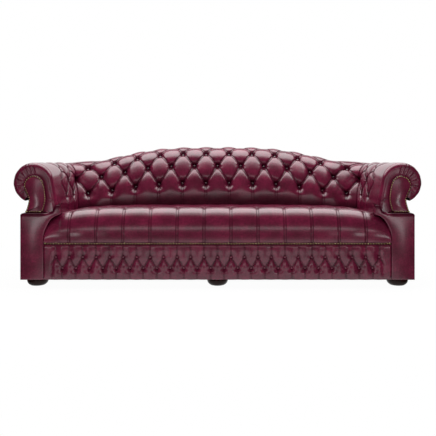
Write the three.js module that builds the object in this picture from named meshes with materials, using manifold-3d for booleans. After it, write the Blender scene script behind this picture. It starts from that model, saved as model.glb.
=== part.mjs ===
// Camelback sofa, in millimetres. +Z is up, the seat faces -Y, and left and right are the viewer's.
// The origin is on the floor, under the middle of the sofa's outer box.
import * as THREE from "three";
import { mergeVertices } from "three/addons/utils/BufferGeometryUtils.js";
import Module from "manifold-3d";

const wasm = await Module();
wasm.setup();

// Overall sizes
const width = 2540;
const depth = 925;
const crest_height = 890;
const arm_height = 778;
const foot_height = 56;
const gap = 0.3; // running gap between pieces that touch
const pad_gap = 0.8; // between a cover and its foam
const overrun = 10; // how far a cutting block passes the face that it cuts

// Rolled arms and back
const roll_radius = 125;
const arm_set_back = 25; // the scrolls stand this far behind the arm bases
const arm_foot_reach = 160; // from the roll's centre in to the foot of the arm's inner face
const back_foot_reach = 220; // the same on the raked back
const foot_clear = 3.7; // from the seat's rounded end up to the arm and back covers
const row_height_shares = [0, 0.452, 0.99]; // of the cover's start and rows 1 and 2, up to the roll's centre
const row_angles = [42, 94, 120, 180, 245]; // degrees round the roll of row 3, row 4 and the plain back
const back_column = 84; // half spacing of the back's buttons
const corner_columns = 4; // half spacings over which the columns open out towards the arm
const arm_columns = 4.5; // half button spacings along the buttoned part of the arm
const arm_plain_length = 180; // smooth front stretch of the arm
const last_row = 4;
const camel_power = 1.75; // how broad the camel curve's top is
const lift_power = 0.27; // how soon the lower rows of the back follow that curve

// Covers
const cover_depth = 46; // from the top of a puff to the underside of its stuffing
const fold_depth = 26;
const button_depth = 9;
const fold_power = 0.5;
const fold_middle_share = 0.75; // depth of a fold half way between two buttons
const ring_inset = 4; // how far the pleated ring dips to meet the facing
const ring_fold_depth = 7;
const ring_wall = 14;
const edge_round = 14;

// Seat
const seat_side_gap = 0.5; // from the seat's end to the arm base
const seat_drop = 282; // from the top of the arms down to the top of the seat
const seat_thick = 213; // down to its lower edge in front
const seat_fall = 18; // how much lower the seat lies at the back
const seat_round = 100; // radius of the seat's front edge
const seat_back_gap = 5.5; // from the seat's rear to the foot of the back
const seat_column = 83.3; // half spacing of the seat's buttons
const seat_first_row = 180; // from the front to the first row of buttons on top
const seat_row_pitch = 100;
const seat_fold_depth = 16;
const seat_button_depth = 7;
const seat_rest = 20; // least smooth stretch behind the last row
const seat_side_power = 5; // fullness of the seat's rounded ends
const seat_flat_share = 0.95; // of the half width, where its columns of buttons end
const seat_foam_inset = 70;
const seat_stuffing = 96; // from the top of the foam to the top of the seat
const round_angles = [30, 60, 90]; // degrees round the seat's front edge

// Front border
const border_depth = 30;
const border_column = 41.6; // half spacing of the border's buttons
const border_row_shares = [0.326, 0.631]; // heights of its button rows, of the border's own
const border_fold_depth = 13;

// Arm bases
const base_set_in = 53; // from the roll's outermost line in to the base's outer side
const base_width = 147.5;
const facing_clear = 2.2; // from the base's ledge up to the facing
const sweep_rise = 61; // how far the ledge sweeps up past the foot of the arm's cover
const base_corner = 22;
const base_wall = 12;
const base_steps = 8; // along the curve that its front shares with the seat's end

// Timber frame
const rail_thick = 32;
const side_rail_inset = 10.5; // from the base's inner side
const side_rail_clear = 20; // to the base's outer wall
const cross_rail_width = 45;
const cross_rail_height = 70;
const post_inset = 35; // from the roll's centre in to the posts' inner side
const post_width = 50;
const top_rail_drop = 53; // from the roll's centre down to the underside of the top rails
const top_rail_height = 50;
const frame_set_back = 12.5; // from the back roll's centre to the rear face of the frame
const post_depth = 50;
const back_board = 30;
const lower_rail_height = 50;
const lower_rail_drop = 56; // from the foot of the covers down to the back's lower rail
const stay_width = 45;
const board_thick = 18;
const board_inset = 5; // from the facing's edge in to that of the scroll board behind it
const outside_thick = 11;
const outside_lean = 17;
const outside_tuck = 22; // how far the outside panels run up behind the roll

// Seat springs
const spring_count = 8;
const spring_margin = 205; // from the side rail to the outermost spring
const spring_wire = 2; // radius
const spring_sides = 5;
const spring_waves = 9;
const spring_sway = 22;
const deck_thick = 7.8;

// Facings and nail trim
const facing_thick = 16;
const facing_proud = 3;
const trim_width = 7;
const trim_thick = 3;

// Feet
const foot_radius = 66;
const foot_inset = 63; // from the side rail's inner side to the middle of the foot
const foot_front_inset = 132.5;
const foot_rear_inset = 88;
const bolt_radius = 4;
const bolt_sides = 10;
const bolt_bottom = 20;
const bolt_reach = 48; // how far a bolt goes up into its rail
const dust_thick = 3.4;

// Points of outlines, as shares of the size named beside them
const facing_shares = [
  // of the roll's radius, from the roll's centre, inner bottom corner round to the outer one
  [-0.44, -1.47],
  [-0.56, -1.3],
  [-0.67, -0.73],
  [-0.56, -0.06],
  [-0.37, 0.25],
  [-0.1, 0.36],
  [0.2, 0.28],
  [0.41, 0.01],
  [0.4, -0.3],
  [0.2, -0.79],
  [0.25, -1.14],
  [0.36, -1.47],
];
const sweep_shares = [
  // of the roll's radius across, from its centre, and of the way from the ledge up to the sweep's top
  [-0.52, 0],
  [-0.68, 0.05],
  [-0.81, 0.2],
  [-0.91, 0.45],
  [-0.99, 0.75],
  [-1.08, 0.95],
  [-1.28, 1],
];
const ring_shares = [0.06, 0.18, 0.27, 0.36, 0.44, 0.55, 0.65, 0.8]; // facing outline at each row
const foot_shares = [
  // radius and height of the bun foot, of its radius and its height
  [0, 0],
  [0.6, 0],
  [0.8, 0.12],
  [0.95, 0.38],
  [1, 0.62],
  [0.93, 0.85],
  [0.78, 1],
  [0, 1],
];

const front = -depth / 2;
const arm_front = front + arm_set_back;
const roll_height = arm_height - roll_radius;
const arm_roll_x = width / 2 - roll_radius;
const back_roll_y = depth / 2 - roll_radius;
const radians = Math.PI / 180;
const board_rear = arm_front + facing_thick - facing_proud + board_thick + 2 * gap;

// Across the sofa
const base_outer = width / 2 - base_set_in;
const base_inner = base_outer - base_width;
const seat_half_width = base_inner - seat_side_gap;
const arm_foot_x = arm_roll_x - arm_foot_reach;
const half_columns = Math.round(arm_foot_x / back_column); // from the middle of the back to its corner
const side_rail_inner = base_inner + side_rail_inset;
const side_rail_outer = base_outer - base_wall - side_rail_clear;
const post_inner = arm_roll_x - post_inset;
const spring_pitch = (2 * (side_rail_inner - spring_margin)) / (spring_count - 1);
const stay_place = 2 * spring_pitch;
const cross_rail_place = side_rail_inner / 2;
const foot_place = side_rail_inner + foot_inset;

// From front to back
const frame_rear = back_roll_y + frame_set_back;
const seat_rear = back_roll_y - back_foot_reach - seat_back_gap;
const seat_length = seat_rear - front;
const foot_front = front + foot_front_inset;
const foot_rear = frame_rear - foot_rear_inset;

// Heights
const seat_top = arm_height - seat_drop;
const seat_bottom = seat_top - seat_thick;
const dust_bottom = foot_height + gap;
const rail_bottom = dust_bottom + dust_thick + gap;
const rail_top = seat_bottom - deck_thick - 2 * spring_wire - 4 * gap;
const border_top = seat_bottom - trim_width;
const bolt_top = rail_bottom + bolt_reach;
const seat_floor = seat_bottom - overrun; // where the seat's dome starts, before its underside is cut flat
const foot_line = seat_floor + (seat_top - seat_floor) * seat_fullness(arm_foot_x) + foot_clear;
const base_top = roll_height + facing_shares[0][1] * roll_radius - facing_clear;
const sweep_top = foot_line + sweep_rise;
const lower_rail_bottom = foot_line - lower_rail_drop;
const top_rail_bottom = roll_height - top_rail_drop;
const row_heights = row_height_shares.map((share) => foot_line + share * (roll_height - foot_line));
row_heights.push(roll_height + roll_radius * Math.sin(row_angles[0] * radians));
const section_rows = row_height_shares.length + row_angles.length - 1;

// The seat has as many rows and columns of buttons as fit it.
const rear_drop = seat_top - seat_fall - foot_line;
const rows_run = seat_length - seat_first_row - seat_row_pitch / 2 - rear_drop - seat_rest;
const seat_rows = 1 + Math.floor(rows_run / seat_row_pitch);
const seat_last_column = Math.floor((seat_flat_share * seat_half_width) / seat_column);

// How high the seat stands across its width, from 1 in its middle to 0 at its rounded end.
function seat_fullness(x) {
  return (1 - (Math.abs(x) / seat_half_width) ** seat_side_power) ** (1 / seat_side_power);
}

function paint(colour, roughness, metalness = 0) {
  return () => new THREE.MeshStandardMaterial({ color: colour, roughness, metalness });
}
const leather = paint(0x5a1a2c, 0.35);
const timber = paint(0xb89462, 0.7);
const steel = paint(0x8b8f92, 0.4, 1);
const foam = paint(0xe7d7a3, 0.9);
const hessian = paint(0x9b8458, 0.95);
const black_cloth = paint(0x1d1c1e, 0.95);
const dark_wood = paint(0x1c0a05, 0.25);
const old_brass = paint(0x6b5a3a, 0.4, 1);

const sofa = new THREE.Group();

function add(name, geometry, material) {
  const mesh = new THREE.Mesh(geometry, material());
  mesh.name = name;
  sofa.add(mesh);
}

// Turn a geometry inside out, as a mirrored one needs.
function turned(geometry) {
  const index = geometry.index.array;
  for (let i = 0; i < index.length; i += 3) {
    const kept = index[i];
    index[i] = index[i + 1];
    index[i + 1] = kept;
  }
  return geometry;
}

function closed(geometry) {
  geometry.deleteAttribute("normal");
  geometry.deleteAttribute("uv");
  return mergeVertices(geometry);
}

function mirrored(geometry) {
  const copy = closed(geometry.clone());
  copy.scale(-1, 1, 1);
  return turned(copy);
}

// Add a piece on the right, and its mirror image on the left.
function add_pair(name, geometry, material) {
  add(name + "_right", geometry, material);
  add(name + "_left", mirrored(geometry), material);
}

function solid(geometry) {
  const mesh = closed(geometry.clone());
  const vertProperties = new Float32Array(mesh.attributes.position.array);
  const triVerts = new Uint32Array(mesh.index.array);
  return new wasm.Manifold(new wasm.Mesh({ numProp: 3, vertProperties, triVerts }));
}

function shape_of(body) {
  const mesh = body.getMesh();
  const geometry = new THREE.BufferGeometry();
  geometry.setAttribute("position", new THREE.BufferAttribute(mesh.vertProperties, 3));
  geometry.setIndex(new THREE.BufferAttribute(mesh.triVerts, 1));
  return geometry;
}

function cut(geometry, ...tools) {
  return shape_of(tools.reduce((body, tool) => body.subtract(solid(tool)), solid(geometry)));
}

// A block between two values on each axis.
function block(x0, x1, y0, y1, z0, z1) {
  const geometry = new THREE.BoxGeometry(x1 - x0, y1 - y0, z1 - z0);
  return geometry.translate((x0 + x1) / 2, (y0 + y1) / 2, (z0 + z1) / 2);
}

// A thick skin: its outer face is place(u, v, true) and its inner one place(u, v, false), with u and v
// counted in steps. Each square of the grid is split along its deeper diagonal, where a fold lies.
function skin(steps_u, steps_v, place) {
  const geometry = closed(new THREE.BoxGeometry(1, 1, 1, steps_u, 1, steps_v));
  const position = geometry.attributes.position;
  for (let i = 0; i < position.count; i++) {
    const u = Math.round((position.getX(i) + 0.5) * steps_u);
    const v = Math.round((position.getZ(i) + 0.5) * steps_v);
    position.setXYZ(i, ...place(u, v, position.getY(i) < 0));
  }
  const index = geometry.index.array;
  const point = (i) => new THREE.Vector3().fromBufferAttribute(position, i);
  for (let i = 0; i < index.length; i += 6) {
    const [a, b, d, , c] = index.slice(i, i + 5);
    const across = point(d).sub(point(b));
    const along = point(c).sub(point(a));
    const normal = across.clone().cross(along);
    const rise = point(a).add(point(c)).sub(point(b)).sub(point(d));
    if (rise.dot(normal) > 0) index.set([a, b, c, a, c, d], i);
  }
  return geometry;
}

// How full a buttoned cover is, from 0 in a fold to 1 on a puff. Buttons lie where column and row are
// both whole and their sum is even, and past the first and last rows the folds run straight on.
function fullness(column, row) {
  return Math.abs(Math.cos(Math.PI * row) - Math.cos(Math.PI * column)) / 2;
}

function dip(column, row, first, last, fold = fold_depth, button = button_depth) {
  const held = Math.min(Math.max(row, first), last);
  const near = Math.abs(Math.cos(Math.PI * column) * Math.cos(Math.PI * held));
  const share = fold_middle_share + (1 - fold_middle_share) * near;
  const full = fullness(column, held) ** fold_power;
  const on_button = row >= first && row <= last && full < 0.01 && near > 0.99;
  return fold * share * (1 - full) + (on_button ? button : 0);
}

// The rolled section that arms and back share, at a row: its height, its angle round the roll, and
// the direction in which the cover's depth is measured.
function section(row) {
  if (row >= 3) {
    const start = Math.min(Math.floor(row) - 3, row_angles.length - 2);
    const angle = THREE.MathUtils.lerp(row_angles[start], row_angles[start + 1], row - 3 - start) * radians;
    return { height: roll_height + roll_radius * Math.sin(angle), angle, on_roll: true };
  }
  const start = Math.floor(row);
  const height = THREE.MathUtils.lerp(row_heights[start], row_heights[start + 1], row - start);
  const angle = height > roll_height ? Math.asin((height - roll_height) / roll_radius) : 0;
  return { height, angle, on_roll: false };
}

// Distance of the section from the roll's centre, towards the seat, for a cover whose straight face
// starts at the given reach and runs up to touch the roll.
function reach_at(row, foot_reach) {
  const { height, angle, on_roll } = section(row);
  const drop = roll_height - foot_line;
  const slant = Math.hypot(foot_reach, drop);
  const tangent = Math.sqrt(slant ** 2 - roll_radius ** 2);
  const lean = Math.atan2(drop, foot_reach) + Math.asin(roll_radius / slant);
  const touch = foot_line + tangent * Math.sin(lean);
  if (on_roll || height > touch) return roll_radius * Math.cos(angle);
  return foot_reach - (height - foot_line) / Math.tan(lean);
}

// How much higher than the arms the back stands at a column.
function rise_at(column) {
  const along = Math.min(Math.abs(column) / half_columns, 1);
  return ((crest_height - arm_height) * (1 + Math.cos(Math.PI * along ** camel_power))) / 2;
}

// A point of the back, sunk by a depth below the top of its puffs.
function back_point(column, row, sunk) {
  const { height, angle } = section(row);
  const climb = THREE.MathUtils.clamp((height - foot_line) / (arm_height - foot_line), 0, 1);
  const lift = row > last_row ? 1 : climb ** lift_power;
  const corner = arm_roll_x - reach_at(row, arm_foot_reach) + sunk * Math.cos(angle);
  const opened = Math.max(Math.abs(column) - half_columns + corner_columns, 0) / corner_columns;
  const spread = opened ** 3 * (corner - gap - half_columns * back_column);
  const x = column * back_column + Math.sign(column) * spread;
  const y = back_roll_y - reach_at(row, back_foot_reach) + sunk * Math.cos(angle);
  return [x, y, height - sunk * Math.sin(angle) + rise_at(column) * lift];
}

const back_rows = [0, 1, 1.5, 2, 2.5, 3, 3.5, 4, 4.5, 5, 6, 7]; // rows of the back cover's grid

function make_back_cover() {
  return skin(4 * half_columns, back_rows.length - 1, (u, v, outer) => {
    const column = u / 2 - half_columns;
    const row = back_rows[v];
    const sunk = outer ? dip(column, row, 1, last_row) : cover_depth;
    return back_point(column, row, sunk);
  });
}

// The facing's outline round the scroll, as a spline from its inner bottom corner to its outer one.
const facing_curve = new THREE.SplineCurve(
  facing_shares.map(
    ([across, up]) =>
      new THREE.Vector2(arm_roll_x + across * roll_radius, roll_height + up * roll_radius),
  ),
);

// A point of the right arm, at a distance along it, sunk below the top of its puffs.
function arm_point(y, row, sunk) {
  const { height, angle } = section(row);
  const x = arm_roll_x - reach_at(row, arm_foot_reach) + sunk * Math.cos(angle);
  return [x, y, height - sunk * Math.sin(angle)];
}

function ring_point(row) {
  const start = Math.min(Math.floor(row), ring_shares.length - 2);
  const share = THREE.MathUtils.lerp(ring_shares[start], ring_shares[start + 1], row - start);
  return facing_curve.getPoint(share);
}

// The arm cover runs from the pleated ring round the facing, over the scroll's edge and along the
// arm to its mitre with the back.
function make_arm_cover() {
  const ring_columns = 4;
  const plain_columns = 2;
  const columns = ring_columns + plain_columns + 2 * arm_columns;
  return skin(columns, 2 * section_rows, (step, v, outer) => {
    const u = columns - step;
    const row = v / 2;
    const pleat = ring_fold_depth * Math.cos(Math.PI * row) ** 2;
    const edge = arm_point(arm_front, row, outer ? 0 : cover_depth);
    const ring = ring_point(row);
    const span = Math.hypot(edge[0] - ring.x, edge[2] - ring.y);
    const clear = (2 * gap) / span;
    if (u < 2) {
      const share = u === 0 ? clear : 0.5;
      const x = THREE.MathUtils.lerp(ring.x, edge[0], share);
      const z = THREE.MathUtils.lerp(ring.y, edge[2], share);
      const face = u === 0 ? ring_inset : pleat;
      return [x, arm_front + face + (outer ? 0 : ring_wall), z];
    }
    if (u <= ring_columns) {
      const turn = ((u - 2) / (ring_columns - 2)) * (Math.PI / 2);
      const sunk = outer ? edge_round * (1 - Math.sin(turn)) + (u === 4 ? 0 : pleat / 2) : cover_depth;
      const back = edge_round * (1 - Math.cos(turn)) + (u === 2 ? pleat / 2 : 0);
      return arm_point(arm_front + back + (outer ? 0 : ring_wall + edge_round / 2), row, sunk);
    }
    const start = arm_front + edge_round;
    const first = arm_front + arm_plain_length;
    const past = u - ring_columns;
    if (past < plain_columns) {
      const y = THREE.MathUtils.lerp(start, first, past / plain_columns);
      return arm_point(y + (outer ? 0 : ring_wall), row, outer ? 0 : cover_depth);
    }
    const column = arm_columns - (past - plain_columns) / 2;
    const fade = THREE.MathUtils.clamp(arm_columns - column, 0, 1);
    const sunk = outer ? fade * dip(column, row, 1, last_row) : cover_depth;
    const { angle } = section(row);
    const mitre = back_roll_y - reach_at(row, back_foot_reach) + sunk * Math.cos(angle) - gap;
    const y = THREE.MathUtils.lerp(mitre, first, column / arm_columns);
    return arm_point(y, row, sunk);
  });
}

// Foam pads lie between the covers and the timber.
function make_back_foam() {
  const rows = back_rows.filter((row) => row <= 2.5);
  const columns = 4 * half_columns - 2;
  return skin(columns, rows.length - 1, (u, v, outer) => {
    const column = (u - columns / 2) / 2;
    const [x, y, z] = back_point(column, rows[v], cover_depth + pad_gap);
    return [x, outer ? y : frame_rear - post_depth - gap, z];
  });
}

function make_arm_foam() {
  const rows = 5;
  const start = arm_front + cover_depth + ring_wall;
  const end = back_roll_y - back_foot_reach;
  return skin(2, rows, (u, v, outer) => {
    const y = THREE.MathUtils.lerp(end, start, u / 2);
    const [x, , z] = arm_point(y, v / 2, cover_depth + pad_gap);
    return [outer ? x : post_inner - gap, y, z];
  });
}

// Across the seat the columns follow its buttons, then crowd down over the rounded end.
const end_shares = [0.965, 0.99, 0.9985]; // of the seat's half width
const seat_columns = 2 * seat_last_column; // grid columns from the middle to where the end starts

function seat_x(step) {
  const side = Math.sign(step);
  const count = Math.abs(step);
  if (count <= seat_columns) return (step * seat_column) / 2;
  return side * end_shares[count - seat_columns - 1] * seat_half_width;
}

// The seat's outline from its bottom front edge over to its rear: distance from the front, height
// and row at each step of the grid.
function seat_outline() {
  const straight = seat_top - seat_round;
  const round = round_angles.map((angle) => [
    seat_round * (1 - Math.cos(angle * radians)),
    straight + seat_round * Math.sin(angle * radians),
    0.6,
  ]);
  const run = seat_length - seat_first_row;
  const top = Array.from({ length: 2 * seat_rows }, (_, i) => {
    const back = (i * seat_row_pitch) / 2;
    return [seat_first_row + back, seat_top - (seat_fall * back) / run, 1 + i / 2];
  });
  return [
    [seat_round / 10, seat_floor, 0],
    [0, (seat_bottom + straight) / 2, 0],
    [0, straight, 0.5],
    ...round,
    ...top,
    [seat_length - rear_drop, seat_top - seat_fall, seat_rows + 0.6],
    [seat_length, foot_line - rear_drop, seat_rows + 1],
  ];
}

function make_seat_cover() {
  const outline = seat_outline();
  const steps = seat_columns + end_shares.length;
  const dome = skin(2 * steps, outline.length - 1, (u, v, outer) => {
    const x = seat_x(u - steps);
    const [back, height, row] = outline[v];
    const under_point = THREE.MathUtils.clamp(back, gap, seat_length - gap);
    if (!outer) return [x, front + under_point, seat_floor - overrun];
    const column = x / seat_column;
    const fade = THREE.MathUtils.clamp(seat_last_column - Math.abs(column), 0, 1);
    const sunk = fade * dip(column, row, 1, seat_rows, seat_fold_depth, seat_button_depth);
    const flat = row >= 1 ? 0 : 1;
    const z = seat_floor + (height - seat_floor) * seat_fullness(x);
    return [x, front + back + flat * sunk, z - (row > 0.5 ? sunk : 0)];
  });
  const under = block(-width, width, -depth, depth, -depth, seat_bottom);
  return cut(cut(dome, under), seat_foam_block(gap));
}

function seat_foam_block(extra) {
  const side = arm_foot_x - seat_foam_inset / 2 + extra;
  const bottom = extra ? seat_floor : seat_bottom - gap;
  return block(
    -side,
    side,
    front + seat_foam_inset - extra,
    seat_rear - seat_foam_inset + extra,
    bottom,
    seat_top - seat_stuffing + extra,
  );
}

function make_border_cover() {
  const columns = Math.floor(seat_half_width / border_column);
  const level_shares = [0, ...border_row_shares, 1];
  const rows = [0, 0.5, 1, 1.5, 2, 2.5, 3];
  const levels = rows.map((row) => {
    const share = (level_shares[Math.floor(row)] + level_shares[Math.ceil(row)]) / 2;
    return THREE.MathUtils.lerp(dust_bottom, border_top, share);
  });
  const edge = 2 * columns + 1;
  const pad = skin(2 * edge, rows.length - 1, (u, v, outer) => {
    const step = u - edge;
    const x = Math.abs(step) === edge ? Math.sign(step) * seat_half_width : (step * border_column) / 2;
    const last = v === 0 || v === rows.length - 1;
    const sunk = Math.abs(step) === edge || last ? border_fold_depth / 2 : 0;
    const fold = dip(step / 2, rows[v], 1, 2, border_fold_depth, 0);
    return [x, front + (outer ? Math.max(sunk, fold) : border_depth + overrun), levels[v]];
  });
  const behind = front + border_depth;
  return cut(pad, block(-width, width, behind, behind + depth, -depth, depth));
}

function outline_shape(points) {
  return new THREE.Shape(points.map(([x, y]) => new THREE.Vector2(x, y)));
}

// Extrude an outline drawn in X and Z from one depth back to another.
function upright(shape, from, to, curve_steps = 6) {
  const geometry = new THREE.ExtrudeGeometry(shape, {
    depth: to - from,
    bevelEnabled: false,
    curveSegments: curve_steps,
  });
  return geometry.rotateX(Math.PI / 2).translate(0, to, 0);
}

// The base's outline from its inner bottom corner round to its ledge, as two shapes share it.
function base_shape() {
  const shape = new THREE.Shape();
  shape.moveTo(base_inner, dust_bottom);
  shape.lineTo(base_outer, dust_bottom);
  shape.lineTo(base_outer, base_top - base_corner);
  shape.absarc(base_outer - base_corner, base_top - base_corner, base_corner, 0, Math.PI / 2, false);
  return shape;
}

// The front block reaches in over the seat's rounded end, and its ledge sweeps up to the arm.
function make_base_front() {
  const shape = base_shape();
  sweep_shares.forEach(([across, up]) => {
    shape.lineTo(arm_roll_x + across * roll_radius, THREE.MathUtils.lerp(base_top, sweep_top, up));
  });
  const start = arm_foot_x - 2 * seat_side_gap;
  for (let i = 0; i <= base_steps; i++) {
    const x = THREE.MathUtils.lerp(start, seat_half_width, Math.sin((i / base_steps) * (Math.PI / 2)));
    const z = seat_floor + (seat_top - seat_floor) * seat_fullness(x);
    shape.lineTo(x + seat_side_gap, z + seat_side_gap);
  }
  return upright(shape, front, arm_front - gap);
}

// The rigid cover of an arm's base: its outer side, top ledge, front block and rear.
function make_arm_base_cover() {
  const shape = base_shape();
  shape.lineTo(base_inner, base_top);
  const whole = upright(shape, front, frame_rear + outside_thick + gap);
  const inner = block(
    0,
    base_outer - base_wall,
    front + arm_set_back,
    frame_rear + gap,
    0,
    base_top - base_wall,
  );
  const neck = arm_roll_x + roll_radius * facing_shares[9][0];
  const arm_slot = block(
    0,
    neck + outside_lean + gap,
    front + arm_set_back,
    frame_rear + gap,
    base_top - 2 * base_wall,
    crest_height,
  );
  return shape_of(solid(cut(whole, inner, arm_slot)).add(solid(make_base_front())));
}

function neck_x() {
  return post_inner + post_width + gap + outside_thick;
}

// Top of the outside panels, tucked up behind the end of the roll's cover.
function panel_top() {
  return section(section_rows).height + outside_tuck;
}

function make_outside_arm_cover() {
  const inner = post_inner + post_width + gap;
  const shape = outline_shape([
    [inner, base_top + gap],
    [neck_x() + outside_lean, base_top + gap],
    [neck_x(), (base_top + panel_top()) / 2],
    [neck_x(), panel_top()],
    [inner, panel_top()],
  ]);
  return upright(shape, board_rear, frame_rear - gap);
}

function make_outside_back_cover() {
  const points = [
    [-base_inner + gap, dust_bottom],
    [-base_inner + gap, base_top + gap],
    [-neck_x(), base_top + gap],
  ];
  const steps = 24;
  for (let i = 0; i <= steps; i++) {
    const x = ((2 * i) / steps - 1) * neck_x();
    points.push([x, panel_top() + rise_at(x / back_column)]);
  }
  points.push([neck_x(), base_top + gap], [base_inner - gap, base_top + gap], [base_inner - gap, dust_bottom]);
  return upright(outline_shape(points.reverse()), frame_rear + gap, frame_rear + gap + outside_thick);
}

function facing_shape(inset) {
  const points = [0, 1 / 30].map((share) => facing_curve.getPoint(share));
  for (let row = 0; row <= ring_shares.length - 1; row += 0.5) points.push(ring_point(row));
  points.push(...[0.85, 0.9, 0.95, 1].map((share) => facing_curve.getPoint(share)));
  const middle = new THREE.Vector2(arm_roll_x, roll_height - roll_radius / 2);
  const shrunk = points.map((point) => {
    const away = middle.clone().sub(point);
    return point.clone().add(away.setLength(inset));
  });
  return new THREE.Shape(shrunk.reverse());
}

function make_facing() {
  return upright(facing_shape(gap), arm_front - facing_proud, arm_front + facing_thick - facing_proud);
}

function make_facing_trim() {
  const ring = facing_shape(gap);
  ring.holes.push(new THREE.Path(facing_shape(gap + trim_width).getPoints().reverse()));
  const face = arm_front - facing_proud - gap;
  return upright(ring, face - trim_thick, face);
}

function make_scroll_board() {
  const start = arm_front + facing_thick - facing_proud + gap;
  return upright(facing_shape(board_inset), start, start + board_thick);
}

// The crest rail is sawn to the camel curve along both edges.
function make_crest_rail() {
  const steps = 24;
  const top = [];
  const bottom = [];
  for (let i = 0; i <= steps; i++) {
    const x = ((2 * i) / steps - 1) * (post_inner - gap);
    const lift = rise_at(x / back_column);
    top.push([x, top_rail_bottom + top_rail_height + lift]);
    bottom.unshift([x, top_rail_bottom + lift]);
  }
  const rear = frame_rear;
  return upright(outline_shape([...top, ...bottom].reverse()), rear - back_board, rear);
}

// A zigzag spring between the front and back rails.
function make_spring(x) {
  const start = front + border_depth + 2 * gap;
  const end = frame_rear - gap;
  const points = [];
  for (let i = 0; i <= 2 * spring_waves; i++) {
    const side = i === 0 || i === 2 * spring_waves ? 0 : 2 * (i % 2) - 1;
    points.push(
      new THREE.Vector3(
        x + side * spring_sway,
        THREE.MathUtils.lerp(start + rail_thick / 2, end - rail_thick / 2, i / (2 * spring_waves)),
        rail_top + gap + spring_wire,
      ),
    );
  }
  const section_shape = new THREE.Shape();
  for (let i = 0; i <= spring_sides; i++) {
    const angle = (2 * Math.PI * i) / spring_sides;
    const point = [spring_wire * Math.cos(angle), spring_wire * Math.sin(angle)];
    if (i === 0) section_shape.moveTo(...point);
    else section_shape.lineTo(...point);
  }
  return new THREE.ExtrudeGeometry(section_shape, {
    steps: 3 * spring_waves,
    extrudePath: new THREE.CatmullRomCurve3(points),
  });
}

// Feet, bolts and the holes that the bolts go through.
const foot_spots = {
  front_left: [-foot_place, foot_front],
  front_centre: [0, foot_front],
  front_right: [foot_place, foot_front],
  back_left: [-foot_place, foot_rear],
  back_centre: [0, foot_rear],
  back_right: [foot_place, foot_rear],
};

function bolt_at([x, y], extra) {
  const bottom = bolt_bottom - extra;
  const top = bolt_top + extra;
  const radius = bolt_radius + extra;
  const geometry = new THREE.CylinderGeometry(radius, radius, top - bottom, bolt_sides);
  return geometry.rotateX(Math.PI / 2).translate(x, y, (top + bottom) / 2);
}

const bolt_holes = Object.values(foot_spots).map((spot) => bolt_at(spot, gap));

function make_foot([x, y], hole) {
  const profile = foot_shares.map(
    ([out, up]) => new THREE.Vector2(out * foot_radius, up * foot_height),
  );
  const bun = new THREE.LatheGeometry(profile, 16).rotateX(Math.PI / 2).translate(x, y, 0);
  return cut(bun, hole);
}

add("back_cover", make_back_cover(), leather);
add_pair("arm_cover", make_arm_cover(), leather);
add("seat_cover", make_seat_cover(), leather);
add("border_cover", make_border_cover(), leather);
add_pair("arm_base_cover", make_arm_base_cover(), leather);
add_pair("outside_arm_cover", make_outside_arm_cover(), leather);
add("outside_back_cover", make_outside_back_cover(), leather);
add_pair("arm_facing", make_facing(), leather);
add_pair("arm_nail_trim", make_facing_trim(), old_brass);
const trim_start = front + gap;
const trim_side = base_inner - 2 * gap;
add(
  "seat_nail_trim",
  block(-trim_side, trim_side, trim_start, trim_start + trim_width, border_top + gap, seat_bottom - gap),
  old_brass,
);

add("back_foam", make_back_foam(), foam);
add_pair("arm_foam", make_arm_foam(), foam);
add("seat_foam", seat_foam_block(0), foam);
const rail_front = front + border_depth + gap;
add(
  "seat_deck",
  block(
    -side_rail_inner,
    side_rail_inner,
    rail_front,
    frame_rear - back_board - gap,
    rail_top + 2 * gap + 2 * spring_wire,
    seat_bottom - 2 * gap,
  ),
  hessian,
);

const rail_side = side_rail_inner - gap;

// A rail across the sofa, between two depths.
function across_rail(from, to) {
  return block(-rail_side, rail_side, from, to, rail_bottom, rail_top);
}

add("front_rail", across_rail(rail_front, rail_front + rail_thick), timber);
add("back_rail", across_rail(frame_rear - rail_thick, frame_rear), timber);
const side_rail = block(
  side_rail_inner,
  side_rail_outer,
  rail_front,
  frame_rear,
  rail_bottom,
  rail_top,
);
add_pair("side_rail", cut(side_rail, bolt_holes[2], bolt_holes[5]), timber);

const cross_names = ["cross_rail_left", "cross_rail_centre", "cross_rail_right"];
cross_names.forEach((name, i) => {
  const place = (i - 1) * cross_rail_place;
  const rail = block(
    place - cross_rail_width / 2,
    place + cross_rail_width / 2,
    rail_front + rail_thick + gap,
    frame_rear - rail_thick - gap,
    rail_bottom,
    rail_bottom + cross_rail_height,
  );
  add(name, i === 1 ? cut(rail, bolt_holes[1], bolt_holes[4]) : rail, timber);
});

const post_outer = post_inner + post_width;
const post_top = top_rail_bottom - gap;
const post_bottom = rail_top + gap;

function post(from) {
  return block(post_inner, post_outer, from, from + post_depth, post_bottom, post_top);
}

add_pair("front_post", post(board_rear), timber);
add_pair("back_post", post(frame_rear - post_depth), timber);
add_pair(
  "arm_top_rail",
  block(post_inner, post_outer, board_rear, frame_rear, top_rail_bottom, top_rail_bottom + top_rail_height),
  timber,
);
add_pair("scroll_board", make_scroll_board(), timber);
add("crest_rail", make_crest_rail(), timber);
const lower_side = post_inner - gap;
const lower_front = frame_rear - back_board - gap - rail_thick / 2;
add(
  "back_lower_rail",
  block(
    -lower_side,
    lower_side,
    lower_front,
    frame_rear - back_board - gap,
    lower_rail_bottom,
    lower_rail_bottom + lower_rail_height,
  ),
  timber,
);
const stay_outer = stay_place + stay_width / 2;
const stay_top = top_rail_bottom + rise_at(stay_outer / back_column) - 2 * gap;
add_pair(
  "back_stay",
  block(stay_place - stay_width / 2, stay_outer, frame_rear - back_board, frame_rear, post_bottom, stay_top),
  timber,
);

for (let i = 0; i < spring_count; i++) {
  const x = (i - (spring_count - 1) / 2) * spring_pitch;
  add("seat_spring_" + (i + 1), make_spring(x), steel);
}

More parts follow.
